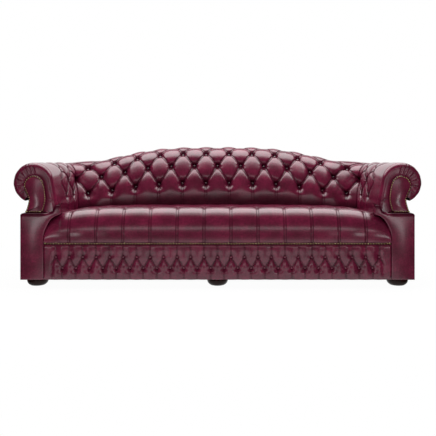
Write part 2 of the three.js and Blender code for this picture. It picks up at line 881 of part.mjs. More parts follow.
const dust_side = base_outer - base_wall - gap;
const dust_sheet = block(-dust_side, dust_side, rail_front, frame_rear, dust_bottom, dust_bottom + dust_thick);
add("dust_cover", cut(dust_sheet, ...bolt_holes), black_cloth);

Object.entries(foot_spots).forEach(([place, spot], i) => {
  add("foot_" + place, make_foot(spot, bolt_holes[i]), dark_wood);
  add("foot_bolt_" + place, bolt_at(spot, 0), steel);
});

export default sofa;
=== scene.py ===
# %% [markdown]
# # A deep-buttoned camelback sofa
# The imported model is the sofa's fixed frame: timber, springs and foam at their real places. This lesson
# dresses it in leather, buttons, nails and polished feet. Lengths are in metres, and `mm` keeps them readable.

# %% Load the frame
import math

import bmesh
import bpy
import numpy as np
from mathutils import Matrix, Vector, noise


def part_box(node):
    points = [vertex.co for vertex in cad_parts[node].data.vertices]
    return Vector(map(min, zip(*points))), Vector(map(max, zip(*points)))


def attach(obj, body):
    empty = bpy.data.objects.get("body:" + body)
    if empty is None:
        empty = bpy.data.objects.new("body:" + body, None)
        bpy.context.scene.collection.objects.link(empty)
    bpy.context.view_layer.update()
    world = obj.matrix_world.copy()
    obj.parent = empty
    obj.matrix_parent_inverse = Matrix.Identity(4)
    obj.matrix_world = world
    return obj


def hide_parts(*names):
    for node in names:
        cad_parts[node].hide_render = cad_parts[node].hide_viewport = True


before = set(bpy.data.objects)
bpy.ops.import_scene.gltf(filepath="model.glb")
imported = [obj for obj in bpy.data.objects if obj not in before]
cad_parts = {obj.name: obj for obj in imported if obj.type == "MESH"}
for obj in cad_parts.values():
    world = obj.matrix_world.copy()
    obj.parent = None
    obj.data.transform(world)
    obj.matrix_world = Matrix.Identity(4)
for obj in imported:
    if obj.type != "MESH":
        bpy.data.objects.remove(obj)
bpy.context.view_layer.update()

mm = 0.001
print("nodes in the frame:", len(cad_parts))

# %% [markdown]
# ## The camera
# The photograph looks straight at the sofa from about eye height of someone seated. All upright edges stay
# upright in it, so the camera is level, and only its lens is shifted down to frame the sofa.

# %% Camera
scene = bpy.context.scene
scene.view_settings.view_transform = "Standard"
photo_size = 436
horizon_pixel = 158.5
centre_offset = 0.5  # pixels from the photo's middle to the sofa's
eye_height = 0.803
arm_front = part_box("arm_cover_right")[0][1]
camera_distance = 3.748
camera_data = bpy.data.cameras.new("camera")
camera_data.lens = 50
camera_data.sensor_width = 36
camera_data.shift_y = (horizon_pixel - photo_size / 2) / photo_size
camera_data.shift_x = centre_offset / photo_size
camera = bpy.data.objects.new("camera", camera_data)
camera.location = (0, arm_front - camera_distance, eye_height)
camera.rotation_euler = (math.pi / 2, 0, 0)
scene.collection.objects.link(camera)
scene.camera = camera
print("camera", camera_distance, "m in front of the arms")

# %% [markdown]
# ## Material helpers
# Colours are written as sRGB hex, as a paint chart gives them, and Blender's sockets want linear light, so one
# function converts them. Another adds a node with its settings and links, which keeps each material short.


# %% Colour and node helpers
def linear(hex_colour):
    channels = [int(hex_colour[i:i + 2], 16) / 255 for i in (1, 3, 5)]
    return tuple(c / 12.92 if c <= 0.04045 else ((c + 0.055) / 1.055) ** 2.4 for c in channels) + (1,)


def fill(tree, node, inputs):
    """Give each input a value, or a link from a socket or from another node's first output."""
    for key, value in inputs.items():
        if isinstance(value, bpy.types.Node):
            value = value.outputs[0]
        if isinstance(value, bpy.types.NodeSocket):
            tree.links.new(value, node.inputs[key])
        else:
            node.inputs[key].default_value = value


def add_node(tree, kind, inputs=None, stops=(), **settings):
    """Add a node with its settings and inputs. stops are the places and colours along a colour ramp."""
    node = tree.nodes.new("ShaderNode" + kind)
    for name, value in settings.items():
        setattr(node, name, value)
    fill(tree, node, inputs or {})
    for i, (place, colour) in enumerate(stops):
        elements = node.color_ramp.elements
        element = elements[i] if i < 2 else elements.new(place)
        element.position = place
        element.color = linear(colour)
    return node


def new_material(name):
    material = bpy.data.materials.new(name)
    material.use_nodes = True
    tree = material.node_tree
    return material, tree, tree.nodes["Principled BSDF"]


def cloudy(tree, size_mm, detail=3, roughness=0.5, stretch=(1, 1, 1)):
    """A pattern of soft patches about size_mm across, in the piece's own metres."""
    place = add_node(tree, "TexCoord").outputs["Object"]
    scaled = add_node(tree, "Mapping", {"Vector": place, "Scale": stretch})
    settings = {"Vector": scaled, "Scale": 1000 / size_mm, "Detail": detail, "Roughness": roughness}
    return add_node(tree, "TexNoise", settings)


print("helpers ready")

# %% [markdown]
# ## Leather with painted shade in its folds
# The real covers are corrected-grain cowhide, dyed oxblood and lacquered. The eye reads them at three
# scales: a slow mottle over a hand's width, a fine speckle of the grain, and the creases. Shade is painted
# into the folds, pits and crease lines as a near-black wine colour, and they lose their shine. The covers
# carry that painted shade as an attribute, and the lines of their pleats in a UV map, because both follow
# the sewing and not the room. The buttons sit in the shaded pits, so their leather is a darker copy, as
# painted shade.

# %% Leather
# the attribute holds painted shade: how dark the folds, pits and tucks are painted
PAINTED_SHADE_MAP, PLEAT_MAP = "fold", "pleats"
pleat_edge = 0.042  # half the width of a pleat's flat band, as a share of the way between two folds
crease_edge = 0.022  # half the width of the crease line along each edge of that band, as the same share
speckle_mm, mottle_mm, grain_mm = 11, 90, 2.4
speckle_share, mottle_share = 0.45, 0.55
grain_depth, crease_depth = 0.06 * mm, 1.5 * mm
painted_shade_colour, painted_fold_share, painted_line_share = "#1a040a", 0.85, 0.95  # painted shade: its colour, and how much of it a fold and a crease line take
open_shine, pleated_shine, lacquer = 0.5, 0.42, 0.33
smoothest, roughest = 0.19, 0.26


def pleat_lines(tree):
    """1 on the two fine crease lines that edge each pleat, 0 elsewhere."""
    parts = add_node(tree, "SeparateXYZ", {0: add_node(tree, "UVMap", uv_map=PLEAT_MAP)})
    lines = []
    for way in ("X", "Y"):
        near = add_node(tree, "Math", {0: parts.outputs[way], 1: 0.5}, operation="PINGPONG")
        off = add_node(tree, "Math", {0: near, 1: pleat_edge}, operation="SUBTRACT")
        off = add_node(tree, "Math", {0: off}, operation="ABSOLUTE")
        lines.append(add_node(tree, "MapRange", {0: off, 2: crease_edge, 3: 1, 4: 0}))
    return add_node(tree, "Math", {0: lines[0], 1: lines[1]}, operation="MAXIMUM")


def make_leather(name, pleated, shades=("#480a20", "#570d29", "#671331")):
    """Lacquered cowhide. Where pleated, shade is painted near-black into its folds and crease lines, which
    lose shine.
    """
    material, tree, shader = new_material(name)
    speckle = cloudy(tree, speckle_mm, roughness=0.6)
    mottle = cloudy(tree, mottle_mm, detail=4)
    mottle = add_node(tree, "Math", {0: mottle, 1: mottle_share}, operation="MULTIPLY")
    shade = add_node(tree, "Math", {0: speckle, 1: speckle_share, 2: mottle}, operation="MULTIPLY_ADD")
    colour = add_node(tree, "ValToRGB", {0: shade}, list(zip((0.36, 0.5, 0.64), shades)))
    grain = {"Height": cloudy(tree, grain_mm, detail=2), "Strength": 0.2, "Distance": grain_depth}
    bump = add_node(tree, "Bump", grain)
    shine, coat = open_shine, lacquer
    if pleated:
        # painted shade: the folds' and pits' darkness and the crease lines are mixed into the colour, and take
        # the shine away
        fold = add_node(tree, "Attribute", attribute_name=PAINTED_SHADE_MAP).outputs["Fac"]
        lines = pleat_lines(tree)
        drawn = add_node(tree, "Math", {0: lines, 1: painted_line_share}, operation="MULTIPLY")
        dark = add_node(tree, "Math", {0: fold, 1: drawn}, operation="MAXIMUM", use_clamp=True)
        shade_amount = add_node(tree, "Math", {0: dark, 1: painted_fold_share}, operation="MULTIPLY")
        inputs = {0: shade_amount, 6: colour, 7: linear(painted_shade_colour)}
        colour = add_node(tree, "Mix", inputs, data_type="RGBA").outputs[2]
        raised = add_node(tree, "Math", {0: 1, 1: lines}, operation="SUBTRACT")
        grooves = {"Height": raised, "Normal": bump, "Strength": 0.8, "Distance": crease_depth}
        bump = add_node(tree, "Bump", grooves)
        open_part = add_node(tree, "Math", {0: 1, 1: dark}, operation="SUBTRACT")
        shine = add_node(tree, "Math", {0: open_part, 1: pleated_shine}, operation="MULTIPLY")
        coat = add_node(tree, "Math", {0: open_part, 1: lacquer}, operation="MULTIPLY")
    rough = add_node(tree, "MapRange", {0: speckle, 3: smoothest, 4: roughest})
    fill(tree, shader, {"Base Color": colour, "Roughness": rough, "Normal": bump, "IOR": 1.6})
    fill(tree, shader, {"Specular IOR Level": shine, "Coat Weight": coat, "Coat Roughness": 0.18})
    return material


leather = make_leather("oxblood_leather", False)
pleated_leather = make_leather("buttoned_oxblood_leather", True)
# a darker copy of the leather, with the pits' shade painted in, for the buttons that sit in them
shaded_button_leather = make_leather("shaded_button_leather", False, ("#2e0815", "#3a0b1b", "#480e22"))
print("leathers:", leather.name, pleated_leather.name, shaded_button_leather.name)

# %% [markdown]
# ## Nails, springs, timber and feet
# The nails are steel with an antiqued brass plating: dull, olive in the hollows and brighter where hands rub.
# The springs are oiled steel wire. The timber is sawn beech, and the feet are turned hardwood, stained near
# black and lacquered, so only a trace of long grain is left.


# %% Metals and woods
def make_metal(name, dark, light, roughness, spot_mm):
    """Metal whose tarnish lies in spots, duller where it is darker."""
    material, tree, shader = new_material(name)
    tarnish = cloudy(tree, spot_mm)
    colour = add_node(tree, "ValToRGB", {0: tarnish}, [(0.35, dark), (0.65, light)])
    rough = add_node(tree, "MapRange", {0: tarnish, 3: roughness + 0.1, 4: roughness - 0.05})
    fill(tree, shader, {"Base Color": colour, "Roughness": rough, "Metallic": 1})
    return material


def make_wood(name, dark, light, roughness, grain_mm, along, shine=0.5):
    """Wood whose grain is drawn out along one axis."""
    material, tree, shader = new_material(name)
    stretch = tuple(0.08 if axis == along else 1 for axis in "xyz")
    grain = cloudy(tree, grain_mm, detail=4, roughness=0.6, stretch=stretch)
    colour = add_node(tree, "ValToRGB", {0: grain}, [(0.35, dark), (0.65, light)])
    bump = add_node(tree, "Bump", {"Height": grain, "Strength": 0.2, "Distance": 0.5 * mm})
    fill(tree, shader, {"Base Color": colour, "Normal": bump, "Roughness": roughness})
    fill(tree, shader, {"Specular IOR Level": shine})
    return material


antique_brass = make_metal("antiqued_brass", "#b3a55a", "#efe4a8", 0.45, 4)
spring_steel = make_metal("oiled_spring_wire", "#55585a", "#8b8f92", 0.35, 8)
beech = make_wood("sawn_beech", "#a07c4e", "#c8a573", 0.65, 14, "x")
foot_wood = make_wood("stained_lacquered_hardwood", "#160502", "#2a0f08", 0.3, 9, "z", 0.2)
print("metals and woods ready")

# %% [markdown]
# ## Cloths and foam
# A hessian deck, a black bottom cloth and foam are hidden in use, but an exploded view shows them. Their
# threads and cells are too fine for the render, so they are drawn about six times as coarse as real ones.


# %% Cloths and foam
def make_cloth(name, dark, light, thread_mm):
    """A plain weave: two crossed waves of threads, each about six times as wide as the real thread."""
    material, tree, shader = new_material(name)
    place = add_node(tree, "TexCoord").outputs["Object"]
    threads = {"Vector": place, "Scale": 1000 / thread_mm / 20, "Distortion": 0.4}
    waves = [add_node(tree, "TexWave", threads, bands_direction=way).outputs["Fac"] for way in ("X", "Y")]
    weave = add_node(tree, "Math", {0: waves[0], 1: waves[1]}, operation="MULTIPLY")
    colour = add_node(tree, "ValToRGB", {0: weave}, [(0.1, dark), (0.7, light)])
    bump = add_node(tree, "Bump", {"Height": weave, "Strength": 0.4, "Distance": 0.5 * mm})
    fill(tree, shader, {"Base Color": colour, "Normal": bump, "Roughness": 0.9})
    return material


def make_foam(name):
    material, tree, shader = new_material(name)
    cells = cloudy(tree, 3, detail=2)
    colour = add_node(tree, "ValToRGB", {0: cells}, [(0.3, "#d8c48c"), (0.7, "#eadcae")])
    bump = add_node(tree, "Bump", {"Height": cells, "Strength": 0.5, "Distance": 1 * mm})
    fill(tree, shader, {"Base Color": colour, "Normal": bump, "Roughness": 0.95})
    return material


hessian = make_cloth("hessian", "#6e5a38", "#a48d5f", 2.5)
black_cloth = make_cloth("black_bottom_cloth", "#0f0e10", "#242226", 1.5)
foam = make_foam("polyurethane_foam")
print("cloths and foam ready")

# %% [markdown]
# ## One lattice for all the buttoned leather
# A deep-buttoned cover is a sheet of leather, larger than its frame, pulled down at a lattice of buttons. The
# spare leather folds into pleats along the diagonals from button to button, and past the outer rows the folds
# run straight to the edge. It could be sculpted puff by puff, but one formula for the lattice keeps every
# puff, pleat and button in line on the back, arms, seat and border. Columns and rows are counted in half
# button spacings, and a button sits wherever both are whole and their sum is even.


# %% The lattice of buttons
def smooth(value, low, high):
    """0 up to low and 1 from high, with an even swing between them."""
    share = np.clip((value - low) / (high - low), 0, 1)
    return share * share * (3 - 2 * share)


def lattice(column, row, first, last):
    """Counts of the two sets of diagonal folds, which run straight on outside the first and last rows."""
    held = np.clip(row, first, last)
    return (column + held) / 2, (column - held) / 2


def nearest_button(column, row, first, last):
    """Steps across and down to the nearest button, where no line of buttons lies outside first and last."""
    along, across = (np.round(count) for count in lattice(column, row, first, last))
    button_column, button_row = along + across, along - across
    outside = (button_row < first) | (button_row > last)
    button_column += np.where(outside, np.where(column >= button_column, 1, -1), 0)
    return column - button_column, row - np.clip(button_row, first, last)


def pleat_map(column, row, first, last, pleated=None):
    """The lattice as UVs. Where the leather isn't pleated, they stay half way between two folds."""
    uvs = np.stack(lattice(column, row, first, last), axis=1)
    return uvs if pleated is None else np.where(pleated[:, None], uvs, 0.5)


print("lattice ready")

# %% [markdown]
# ## Puffs, pits and creases
# Between its folds the leather swells into a puff, full in the middle and steep at the folds. At each button
# it drops into a pit, round which it puckers, and right under the button it lies flat. The same formula gives
# how dark a place is painted: shade is painted into the folds and pits, where light seldom reaches.

# %% Puffs, pits and creases
puff_power = 0.24  # below 1, so that a puff is flat-topped and steep at its folds
pit_share = 0.22  # a pit's radius, as a share of the column width
puckers, pucker_height = 9, 0.08  # small wrinkles round each pit, and their height as a share of its radius
flat_reach, shade_reach, deep_reach = 0.8, 1.15, 1.9  # in pit radii: the flat, the shade, the deep fold ends
# painted shade in a fold, and in a pit round a button
fold_shade, pit_shade = 0.45, 0.95


def tufting(column, row, first, last, spacing, depths, share=0.5, full=0.64):
    """How far the leather lies below the tops of its puffs, and how much painted shade its folds and pits get,
    from 0 to 1. share is a fold's depth half way between two buttons, as a part of its depth beside them, and
    full is how flat and steep-sided the puffs are."""
    fold_depth, pit_depth = depths
    band = pleat_edge * 0.7
    rise = 1
    for count in lattice(column, row, first, last):
        beyond = np.maximum(np.abs(count - np.round(count)) - band, 0) / (0.5 - band)
        rise = rise * np.sin(beyond * math.pi / 2)
    puff = full * rise**puff_power + (1 - full) * rise
    steps_across, steps_down = nearest_button(column, row, first, last)
    across, down = steps_across * spacing[0], steps_down * spacing[1]
    pit = pit_share * spacing[0]
    away = np.hypot(across, down) / pit
    straight = smooth(np.maximum(first - row, row - last), 0.1, 0.5)
    middle = (share + (1 - share) * np.exp(-((away / deep_reach) ** 2))) * (1 - 0.6 * straight)
    ring = np.exp(-(((away - 1.2) / 0.6) ** 2))
    pucker = np.cos(puckers * np.arctan2(down, across) + 3 * column) * ring * pucker_height * pit
    sunk = fold_depth * middle * (1 - puff) + pit_depth * np.exp(-(away**2)) + pucker * (1 - straight)
    flat = np.exp(-((away / flat_reach) ** 4))
    sunk = sunk * (1 - flat) + (fold_depth + pit_depth) * flat
    shaded = np.exp(-((away / shade_reach) ** 2))
    # painted shade: dark in the folds, and darkest in the pits round each button
    dark = np.clip((1 - puff) ** 9 * fold_shade * (1 - 0.4 * straight) + shaded * pit_shade, 0, 1)
    return sunk, dark


def unevenness(points, size, amount):
    """A slow waviness, as hand stuffing leaves."""
    return np.array([noise.noise(Vector(point) / size) for point in points]) * amount


print("a pit reaches", pit_share, "of a column from its button")

# %% [markdown]
# ## The sizes of the roll
# Arms and back share one section: a straight face that leans away from the sitter and runs up into a roll.
# The frame gives the roll's place and heights. The rows of buttons lie at even-looking heights up the face,
# and at angles round the roll.

# %% Sizes of the roll
arm_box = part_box("arm_cover_right")
back_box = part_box("back_cover")
roll_radius = 125 * mm
arm_height, crest_height = arm_box[1][2], back_box[1][2]
roll_height = arm_height - roll_radius
arm_roll_x = arm_box[1][0] - roll_radius
back_roll_y = back_box[1][1] - roll_radius
foot_line = arm_box[0][2]
arm_foot_reach, back_foot_reach = 160 * mm, 220 * mm
row_heights = [foot_line, 545 * mm, 651 * mm, 737 * mm]
row_angles = [math.radians(angle) for angle in (42, 94, 120, 180, 245)]
first_row_on_roll = 3
last_row = 4
half_columns = 12
column_width, row_width = 84 * mm, 95 * mm
corner_start = 8  # from this column on, the spacing opens out to meet the arm
camel_power, lift_power = 1.75, 0.27
joint_gap = 0.5 * mm  # between two covers that meet
print("arm roll at", round(arm_roll_x, 3), "back roll at", round(back_roll_y, 3))
print("roll height", round(roll_height, 3))

# %% [markdown]
# ## Points on the roll
# For each row, a formula gives the height and the reach from the roll's middle, so that the arms' covers and
# the back's meet in the corners along one mitre line. The back also lifts to the camel's hump.


# %% Points on the roll
def section(row):
    """The height of a row, and how far round the roll it faces."""
    row_range = range(first_row_on_roll, first_row_on_roll + len(row_angles))
    angle_on_roll = np.interp(row, row_range, row_angles)
    height_on_face = np.interp(row, range(len(row_heights)), row_heights)
    rolled = row >= first_row_on_roll
    height = np.where(rolled, roll_height + roll_radius * np.sin(angle_on_roll), height_on_face)
    lift = np.clip((height - roll_height) / roll_radius, 0, 1)
    return height, np.where(rolled, angle_on_roll, np.arcsin(lift))


def reach_at(row, foot_reach):
    """How far a row lies from the upright line through the roll's middle."""
    height, angle = section(row)
    drop = roll_height - foot_line
    slant = math.hypot(foot_reach, drop)
    lean = math.atan2(drop, foot_reach) + math.asin(roll_radius / slant)
    touch = foot_line + math.sqrt(slant**2 - roll_radius**2) * math.sin(lean)
    on_roll = (row >= first_row_on_roll) | (height > touch)
    return np.where(on_roll, roll_radius * np.cos(angle), foot_reach - (height - foot_line) / math.tan(lean))


def rise_at(column):
    """How far the camel's crest stands above the arms."""
    along = np.minimum(np.abs(column) / half_columns, 1)
    return (crest_height - arm_height) * (1 + np.cos(math.pi * along**camel_power)) / 2


def back_point(column, row, sunk):
    height, angle = section(row)
    climb = np.clip((height - foot_line) / (arm_height - foot_line), 0, 1)
    lift = np.where(row > last_row, 1, climb**lift_power)
    corner_x = arm_roll_x - reach_at(row, arm_foot_reach) + sunk * np.cos(angle)
    opened = np.clip((np.abs(column) - corner_start) / (half_columns - corner_start), 0, 1) ** 3
    spread = opened * (corner_x - joint_gap - half_columns * column_width)
    x = column * column_width + np.sign(column) * spread
    y = back_roll_y - reach_at(row, back_foot_reach) + sunk * np.cos(angle)
    return np.stack([x, y, height - sunk * np.sin(angle) + rise_at(column) * lift], axis=1)


def arm_point(y, row, sunk):
    height, angle = section(row)
    x = arm_roll_x - reach_at(row, arm_foot_reach) + sunk * np.cos(angle)
    return np.stack([x, y, height - sunk * np.sin(angle)], axis=1)


print("the crest stands", round(float(rise_at(0)), 3), "above the arms")

# %% [markdown]
# ## From a flat grid to a cover
# Each cover starts as a flat grid, as the leather starts as a flat hide, and every vertex is then moved to its
# place on the stuffed shape. A cloth simulation could inflate it, but the buttons must land exactly on their
# lattice, which a formula does and a simulation only nears. A Solidify modifier gives the hide its thickness.


# %% Grid and cover helpers
def link(bm, name, material):
    """Make a smooth-shaded object at the origin from a bmesh, on the sofa's only body."""
    mesh = bpy.data.meshes.new(name)
    bm.to_mesh(mesh)
    bm.free()
    mesh.materials.append(material)
    mesh.shade_smooth()
    piece = bpy.data.objects.new(name, mesh)
    scene.collection.objects.link(piece)
    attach(piece, "root")
    return piece


def cover(name, columns, rows, place, material, slot="upholstery", hide=3 * mm, flip=False):
    """A grid of leather. place gives the points, the painted shade and the pleat lines for the columns and
    rows of its lines.
    """
    bm = bmesh.new()
    bmesh.ops.create_grid(bm, x_segments=len(columns) - 1, y_segments=len(rows) - 1, size=0.5)
    bm.verts.ensure_lookup_table()
    bm.verts.index_update()
    flat = np.array([vertex.co for vertex in bm.verts])
    across = np.rint((flat[:, 0] + 0.5) * (len(columns) - 1)).astype(int)
    up = np.rint((flat[:, 1] + 0.5) * (len(rows) - 1)).astype(int)
    points, dark, pleats = place(np.asarray(columns)[across], np.asarray(rows)[up])
    pleat_layer = bm.loops.layers.uv.new(PLEAT_MAP)
    shade_layer = bm.verts.layers.float.new(PAINTED_SHADE_MAP)
    for vertex, point, value in zip(bm.verts, points, dark):
        vertex.co = point
        vertex[shade_layer] = value
    for face in bm.faces:
        for loop in face.loops:
            loop[pleat_layer].uv = pleats[loop.vert.index]
    if flip:
        bmesh.ops.reverse_faces(bm, faces=bm.faces)
    piece = link(bm, name, material)
    thick = piece.modifiers.new("hide", "SOLIDIFY")
    thick.thickness = hide
    thick.offset = -1
    return piece


def steps(start, stop, count):
    """Evenly spaced values from start up to, but not at, stop."""
    return list(np.linspace(start, stop, count, endpoint=False))


def through(start, stop, count):
    """Evenly spaced values from start to stop."""
    return list(np.linspace(start, stop, count))


def plain_map(values):
    """A pleat map for leather without pleats."""
    return np.full((len(values), 2), 0.5)


def mirrored(place, sign):
    """A cover's formula, turned into its mirror image where sign is -1."""
    def place_on_side(*shares):
        points, dark, pleats = place(*shares)
        return points * [sign, 1, 1], dark, pleats

    return place_on_side


sides = (("right", 1), ("left", -1))
print("cover helpers ready")

# %% [markdown]
# ## The inside back
# The back is one cover from the seat's crease, over the camel crest and down behind. Four lines of buttons
# hold it, the topmost on the crest. The stuffing swells its face, most at half its height.

# %% Inside back
fine = 17  # grid steps from one button column to the next
back_depths = (24 * mm, 12 * mm)  # of a fold, and of a pit below it
pull_through = 36 * mm  # how far the leather goes down behind the seat
tuck = 8 * mm  # how far it draws in above the seat
back_fullness, back_sway = 22 * mm, 2 * mm
face_rows, face_shares = (0, 1, 2, 3, 3.8), (0, 0.28, 0.6, 0.86, 1)


def back_belly(column, row):
    """The swell of the back's face, which fades out beside the arms."""
    share = np.interp(row, face_rows, face_shares)
    beside_arms = smooth(np.abs(column), half_columns - 2.5, half_columns)
    return back_fullness * np.sin(math.pi * share) * (1 - beside_arms)


def behind_roll(row):
    """How deep the folds still are, from 1 on the face to less behind the roll."""
    return 1 - 0.6 * smooth(row, 4.6, 7)


def place_back(column, row):
    sunk, dark = tufting(column, row, 1, last_row, (column_width, row_width), back_depths)
    fade = behind_roll(row)
    sunk = sunk * fade + tuck * (1 - smooth(row, -0.3, 0.8)) - back_belly(column, row)
    sway = unevenness(back_point(column, row, sunk), size=0.11, amount=back_sway)
    points = back_point(column, row, sunk + sway)
    points[:, 2] -= pull_through * np.clip(-row, 0, 1)
    # painted shade: the folds' shade, fading behind the roll, and a dark band where the back goes down behind
    # the seat
    dark = np.maximum(dark * fade, 0.88 * (1 - smooth(row, 0, 0.65)))
    return points, dark, pleat_map(column, row, 1, last_row)


back_columns = through(-half_columns, half_columns, 2 * half_columns * fine + 1)
back_rows = steps(-1, 0, 3) + steps(0, 4, 4 * fine) + steps(4, 6, 28) + steps(6, 7, 12) + [7]
back = cover("back_leather", back_columns, back_rows, place_back, pleated_leather)
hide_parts("back_cover")
print("back:", len(back.data.polygons), "faces")

# %% [markdown]
# ## The scroll's outline
# The front of each arm shows a keyhole-shaped facing inside a ring of pleats. The facing's outline is a smooth
# curve through a few points, which are kept as shares of the roll's radius so that they follow it.

# %% Scroll outline
facing_shares = [
    # of the roll's radius, from the roll's middle: inner bottom corner round to the outer one
    (-0.44, -1.47), (-0.56, -1.3), (-0.67, -0.73), (-0.56, -0.06), (-0.37, 0.25), (-0.1, 0.36),
    (0.2, 0.28), (0.41, 0.01), (0.4, -0.3), (0.2, -0.79), (0.25, -1.14), (0.36, -1.47),
]


def facing_at(shares):
    """x and z on a Catmull-Rom spline through the facing's outline, at shares of its length."""
    knots = np.array(facing_shares)
    knots = np.vstack([2 * knots[0] - knots[1], knots, 2 * knots[-1] - knots[-2]])
    spans = len(facing_shares) - 1
    place = np.clip(np.asarray(shares) * spans, 0, spans - 1e-6)
    start = place.astype(int)
    t = (place - start)[:, None]
    a, b, c, d = (knots[start + i] for i in range(4))
    points = 0.5 * (2 * b + (c - a) * t + (2 * a - 5 * b + 4 * c - d) * t**2 + (3 * b - a - 3 * c + d) * t**3)
    points = points * roll_radius + [arm_roll_x, roll_height]
    return points[:, 0], points[:, 1]


print("facing outline:", len(facing_shares), "points")

# %% [markdown]
# ## The scroll's front
# Each arm's cover starts at the nailed facing, runs out over a ring of hand-laid pleats, and turns over the
# scroll's edge. A pleat is a sharp step on one side, where the leather tucks under, and a slow rise on the
# other.

# %% Scroll front
ring_shares = [0.06, 0.18, 0.27, 0.36, 0.44, 0.55, 0.65, 0.8]  # of the facing's outline, beside each row
ring_pleats = [0.9, 3.95, 4.4, 4.85, 5.3, 5.75, 6.2, 6.6]  # rows where a pleat lies on the ring
ring_depth, ring_hollow = 3.5 * mm, 5 * mm
edge_round = 28 * mm


def ring_fold(row):
    depth = np.zeros_like(row)
    for pleat in ring_pleats:
        past = row - pleat
        depth += np.where(past > 0, np.exp(-past / 0.1), np.exp(past / 0.025))
    return np.minimum(depth, 1)


def scroll_front(along, row):
    """Points from -2 at the facing to -1 at the scroll's edge and 0 where it is turned, and the pleats' depth
    there."""
    zero = np.zeros_like(row)
    ring = np.clip(along + 2, 0, 1)
    pleat_depth = ring_depth * ring_fold(row) * np.sin(math.pi * np.clip((along + 2) / 2.2, 0, 1)) ** 0.7
    facing_x, facing_z = facing_at(np.interp(row, range(8), ring_shares))
    edge = arm_point(zero, row, zero) - np.stack([facing_x, zero, facing_z], axis=1)
    inset = np.maximum(1 - edge_round / np.hypot(edge[:, 0], edge[:, 2]), 0)
    out = (smooth(ring, 0, 1) * 0.35 + ring * 0.65) * inset
    front_y = arm_front + ring_hollow * (1 - np.sin(math.pi * ring / 2) ** 0.5) + pleat_depth
    on_ring = np.stack([facing_x + edge[:, 0] * out, front_y, facing_z + edge[:, 2] * out], axis=1)
    turn = np.clip(along + 1, 0, 1) * math.pi / 2
    turned_y = arm_front + edge_round * (1 - np.cos(turn))
    turned = arm_point(turned_y, row, edge_round * (1 - np.sin(turn)) + pleat_depth * 0.8)
    blend = smooth(along, -1.02, -0.9)[:, None]
    return on_ring * (1 - blend) + turned * blend, pleat_depth


print("pleats on each ring:", len(ring_pleats))

# %% [markdown]
# ## The rolled arms
# Behind the scroll the cover lies smooth as far as the first buttons. From there to the corner it is buttoned
# to the same lattice as the back, and there it ends on the line where the back's cover ends too.

# %% Rolled arms
arm_columns = 4.5
plain_end = arm_front + 180 * mm


def place_arm(along, row):
    """along runs from -2 to 0 over the scroll's front, on to 1 at the first buttons and 2 at the corner."""
    front_part, pleat_depth = scroll_front(along, row)
    plain_start = arm_front + edge_round
    plain = np.clip(along, 0, 1)
    column = arm_columns * (1 - np.clip(along - 1, 0, 1))
    fade = smooth(arm_columns - column, 0, 0.9)
    sunk, dark = tufting(column, row, 1, last_row, (column_width, row_width), back_depths)
    sunk = (sunk * fade + pleat_depth * 0.6 * np.exp(-plain / 0.18)) * behind_roll(row)
    sunk += tuck * (1 - smooth(row, -0.3, 0.8)) * smooth(along, 0, 0.4)
    angle = section(row)[1]
    mitre = back_roll_y - reach_at(row, back_foot_reach) + sunk * np.cos(angle) - joint_gap
    buttoned_y = plain_end + (mitre - plain_end) * (1 - column / arm_columns)
    y = np.where(along > 1, buttoned_y, plain_start + (plain_end - plain_start) * plain)
    points = np.where((along < 0)[:, None], front_part, arm_point(y, row, sunk))
    points[:, 2] -= pull_through * np.clip(-row, 0, 1) * smooth(along, 0, 0.3)
    # painted shade: on the ring's pleats, and a dark edge beside the facing's nails
    beside_nails = np.exp(-np.clip(along + 2, 0, 1) / 0.05)
    ring_dark = np.clip(ring_fold(row) * 0.35 + 0.4 * beside_nails, 0, 1)
    dark = np.where(along < 0, ring_dark, dark * fade)
    return points, dark, pleat_map(column, row, 1, last_row, fade > 0.4)


arm_along = steps(-2, -1, 14) + steps(-1, 0, 8) + steps(0, 1, 28) + through(1, 2, 9 * fine // 2 + 1)
arm_rows = steps(-1, 0, 3) + steps(0, 3, 3 * fine) + steps(3, 7, 84) + [7]
for side, sign in sides:
    place_side = mirrored(place_arm, sign)
    arm = cover(f"arm_leather_{side}", arm_along, arm_rows, place_side, pleated_leather, flip=sign > 0)
    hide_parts(f"arm_cover_{side}")
    print(arm.name, len(arm.data.polygons), "faces")

# %% [markdown]
# ## The seat's outline
# The bench seat is one domed cover. From the side it goes up the front, over a wide round edge, back along a
# top that falls a little, and down at the rear. Rows are counted along that line, so that row 1 is the first
# line of buttons.

# %% Seat outline
seat_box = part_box("seat_cover")
seat_front, seat_rear = seat_box[0][1], seat_box[1][1]
seat_bottom, seat_top = seat_box[0][2], 496 * mm
seat_half_width = 1069 * mm
seat_fall = 18 * mm  # from the first buttons to the rear
seat_round, rear_round = 100 * mm, 36 * mm
seat_column = 83.3 * mm
seat_first_row = 180 * mm
seat_row_pitch = 100 * mm
seat_rows = 4
rear_row = seat_rows + 0.55  # where the rear begins to round over
straight_top = seat_bottom + 47 * mm
length = seat_rear - seat_front


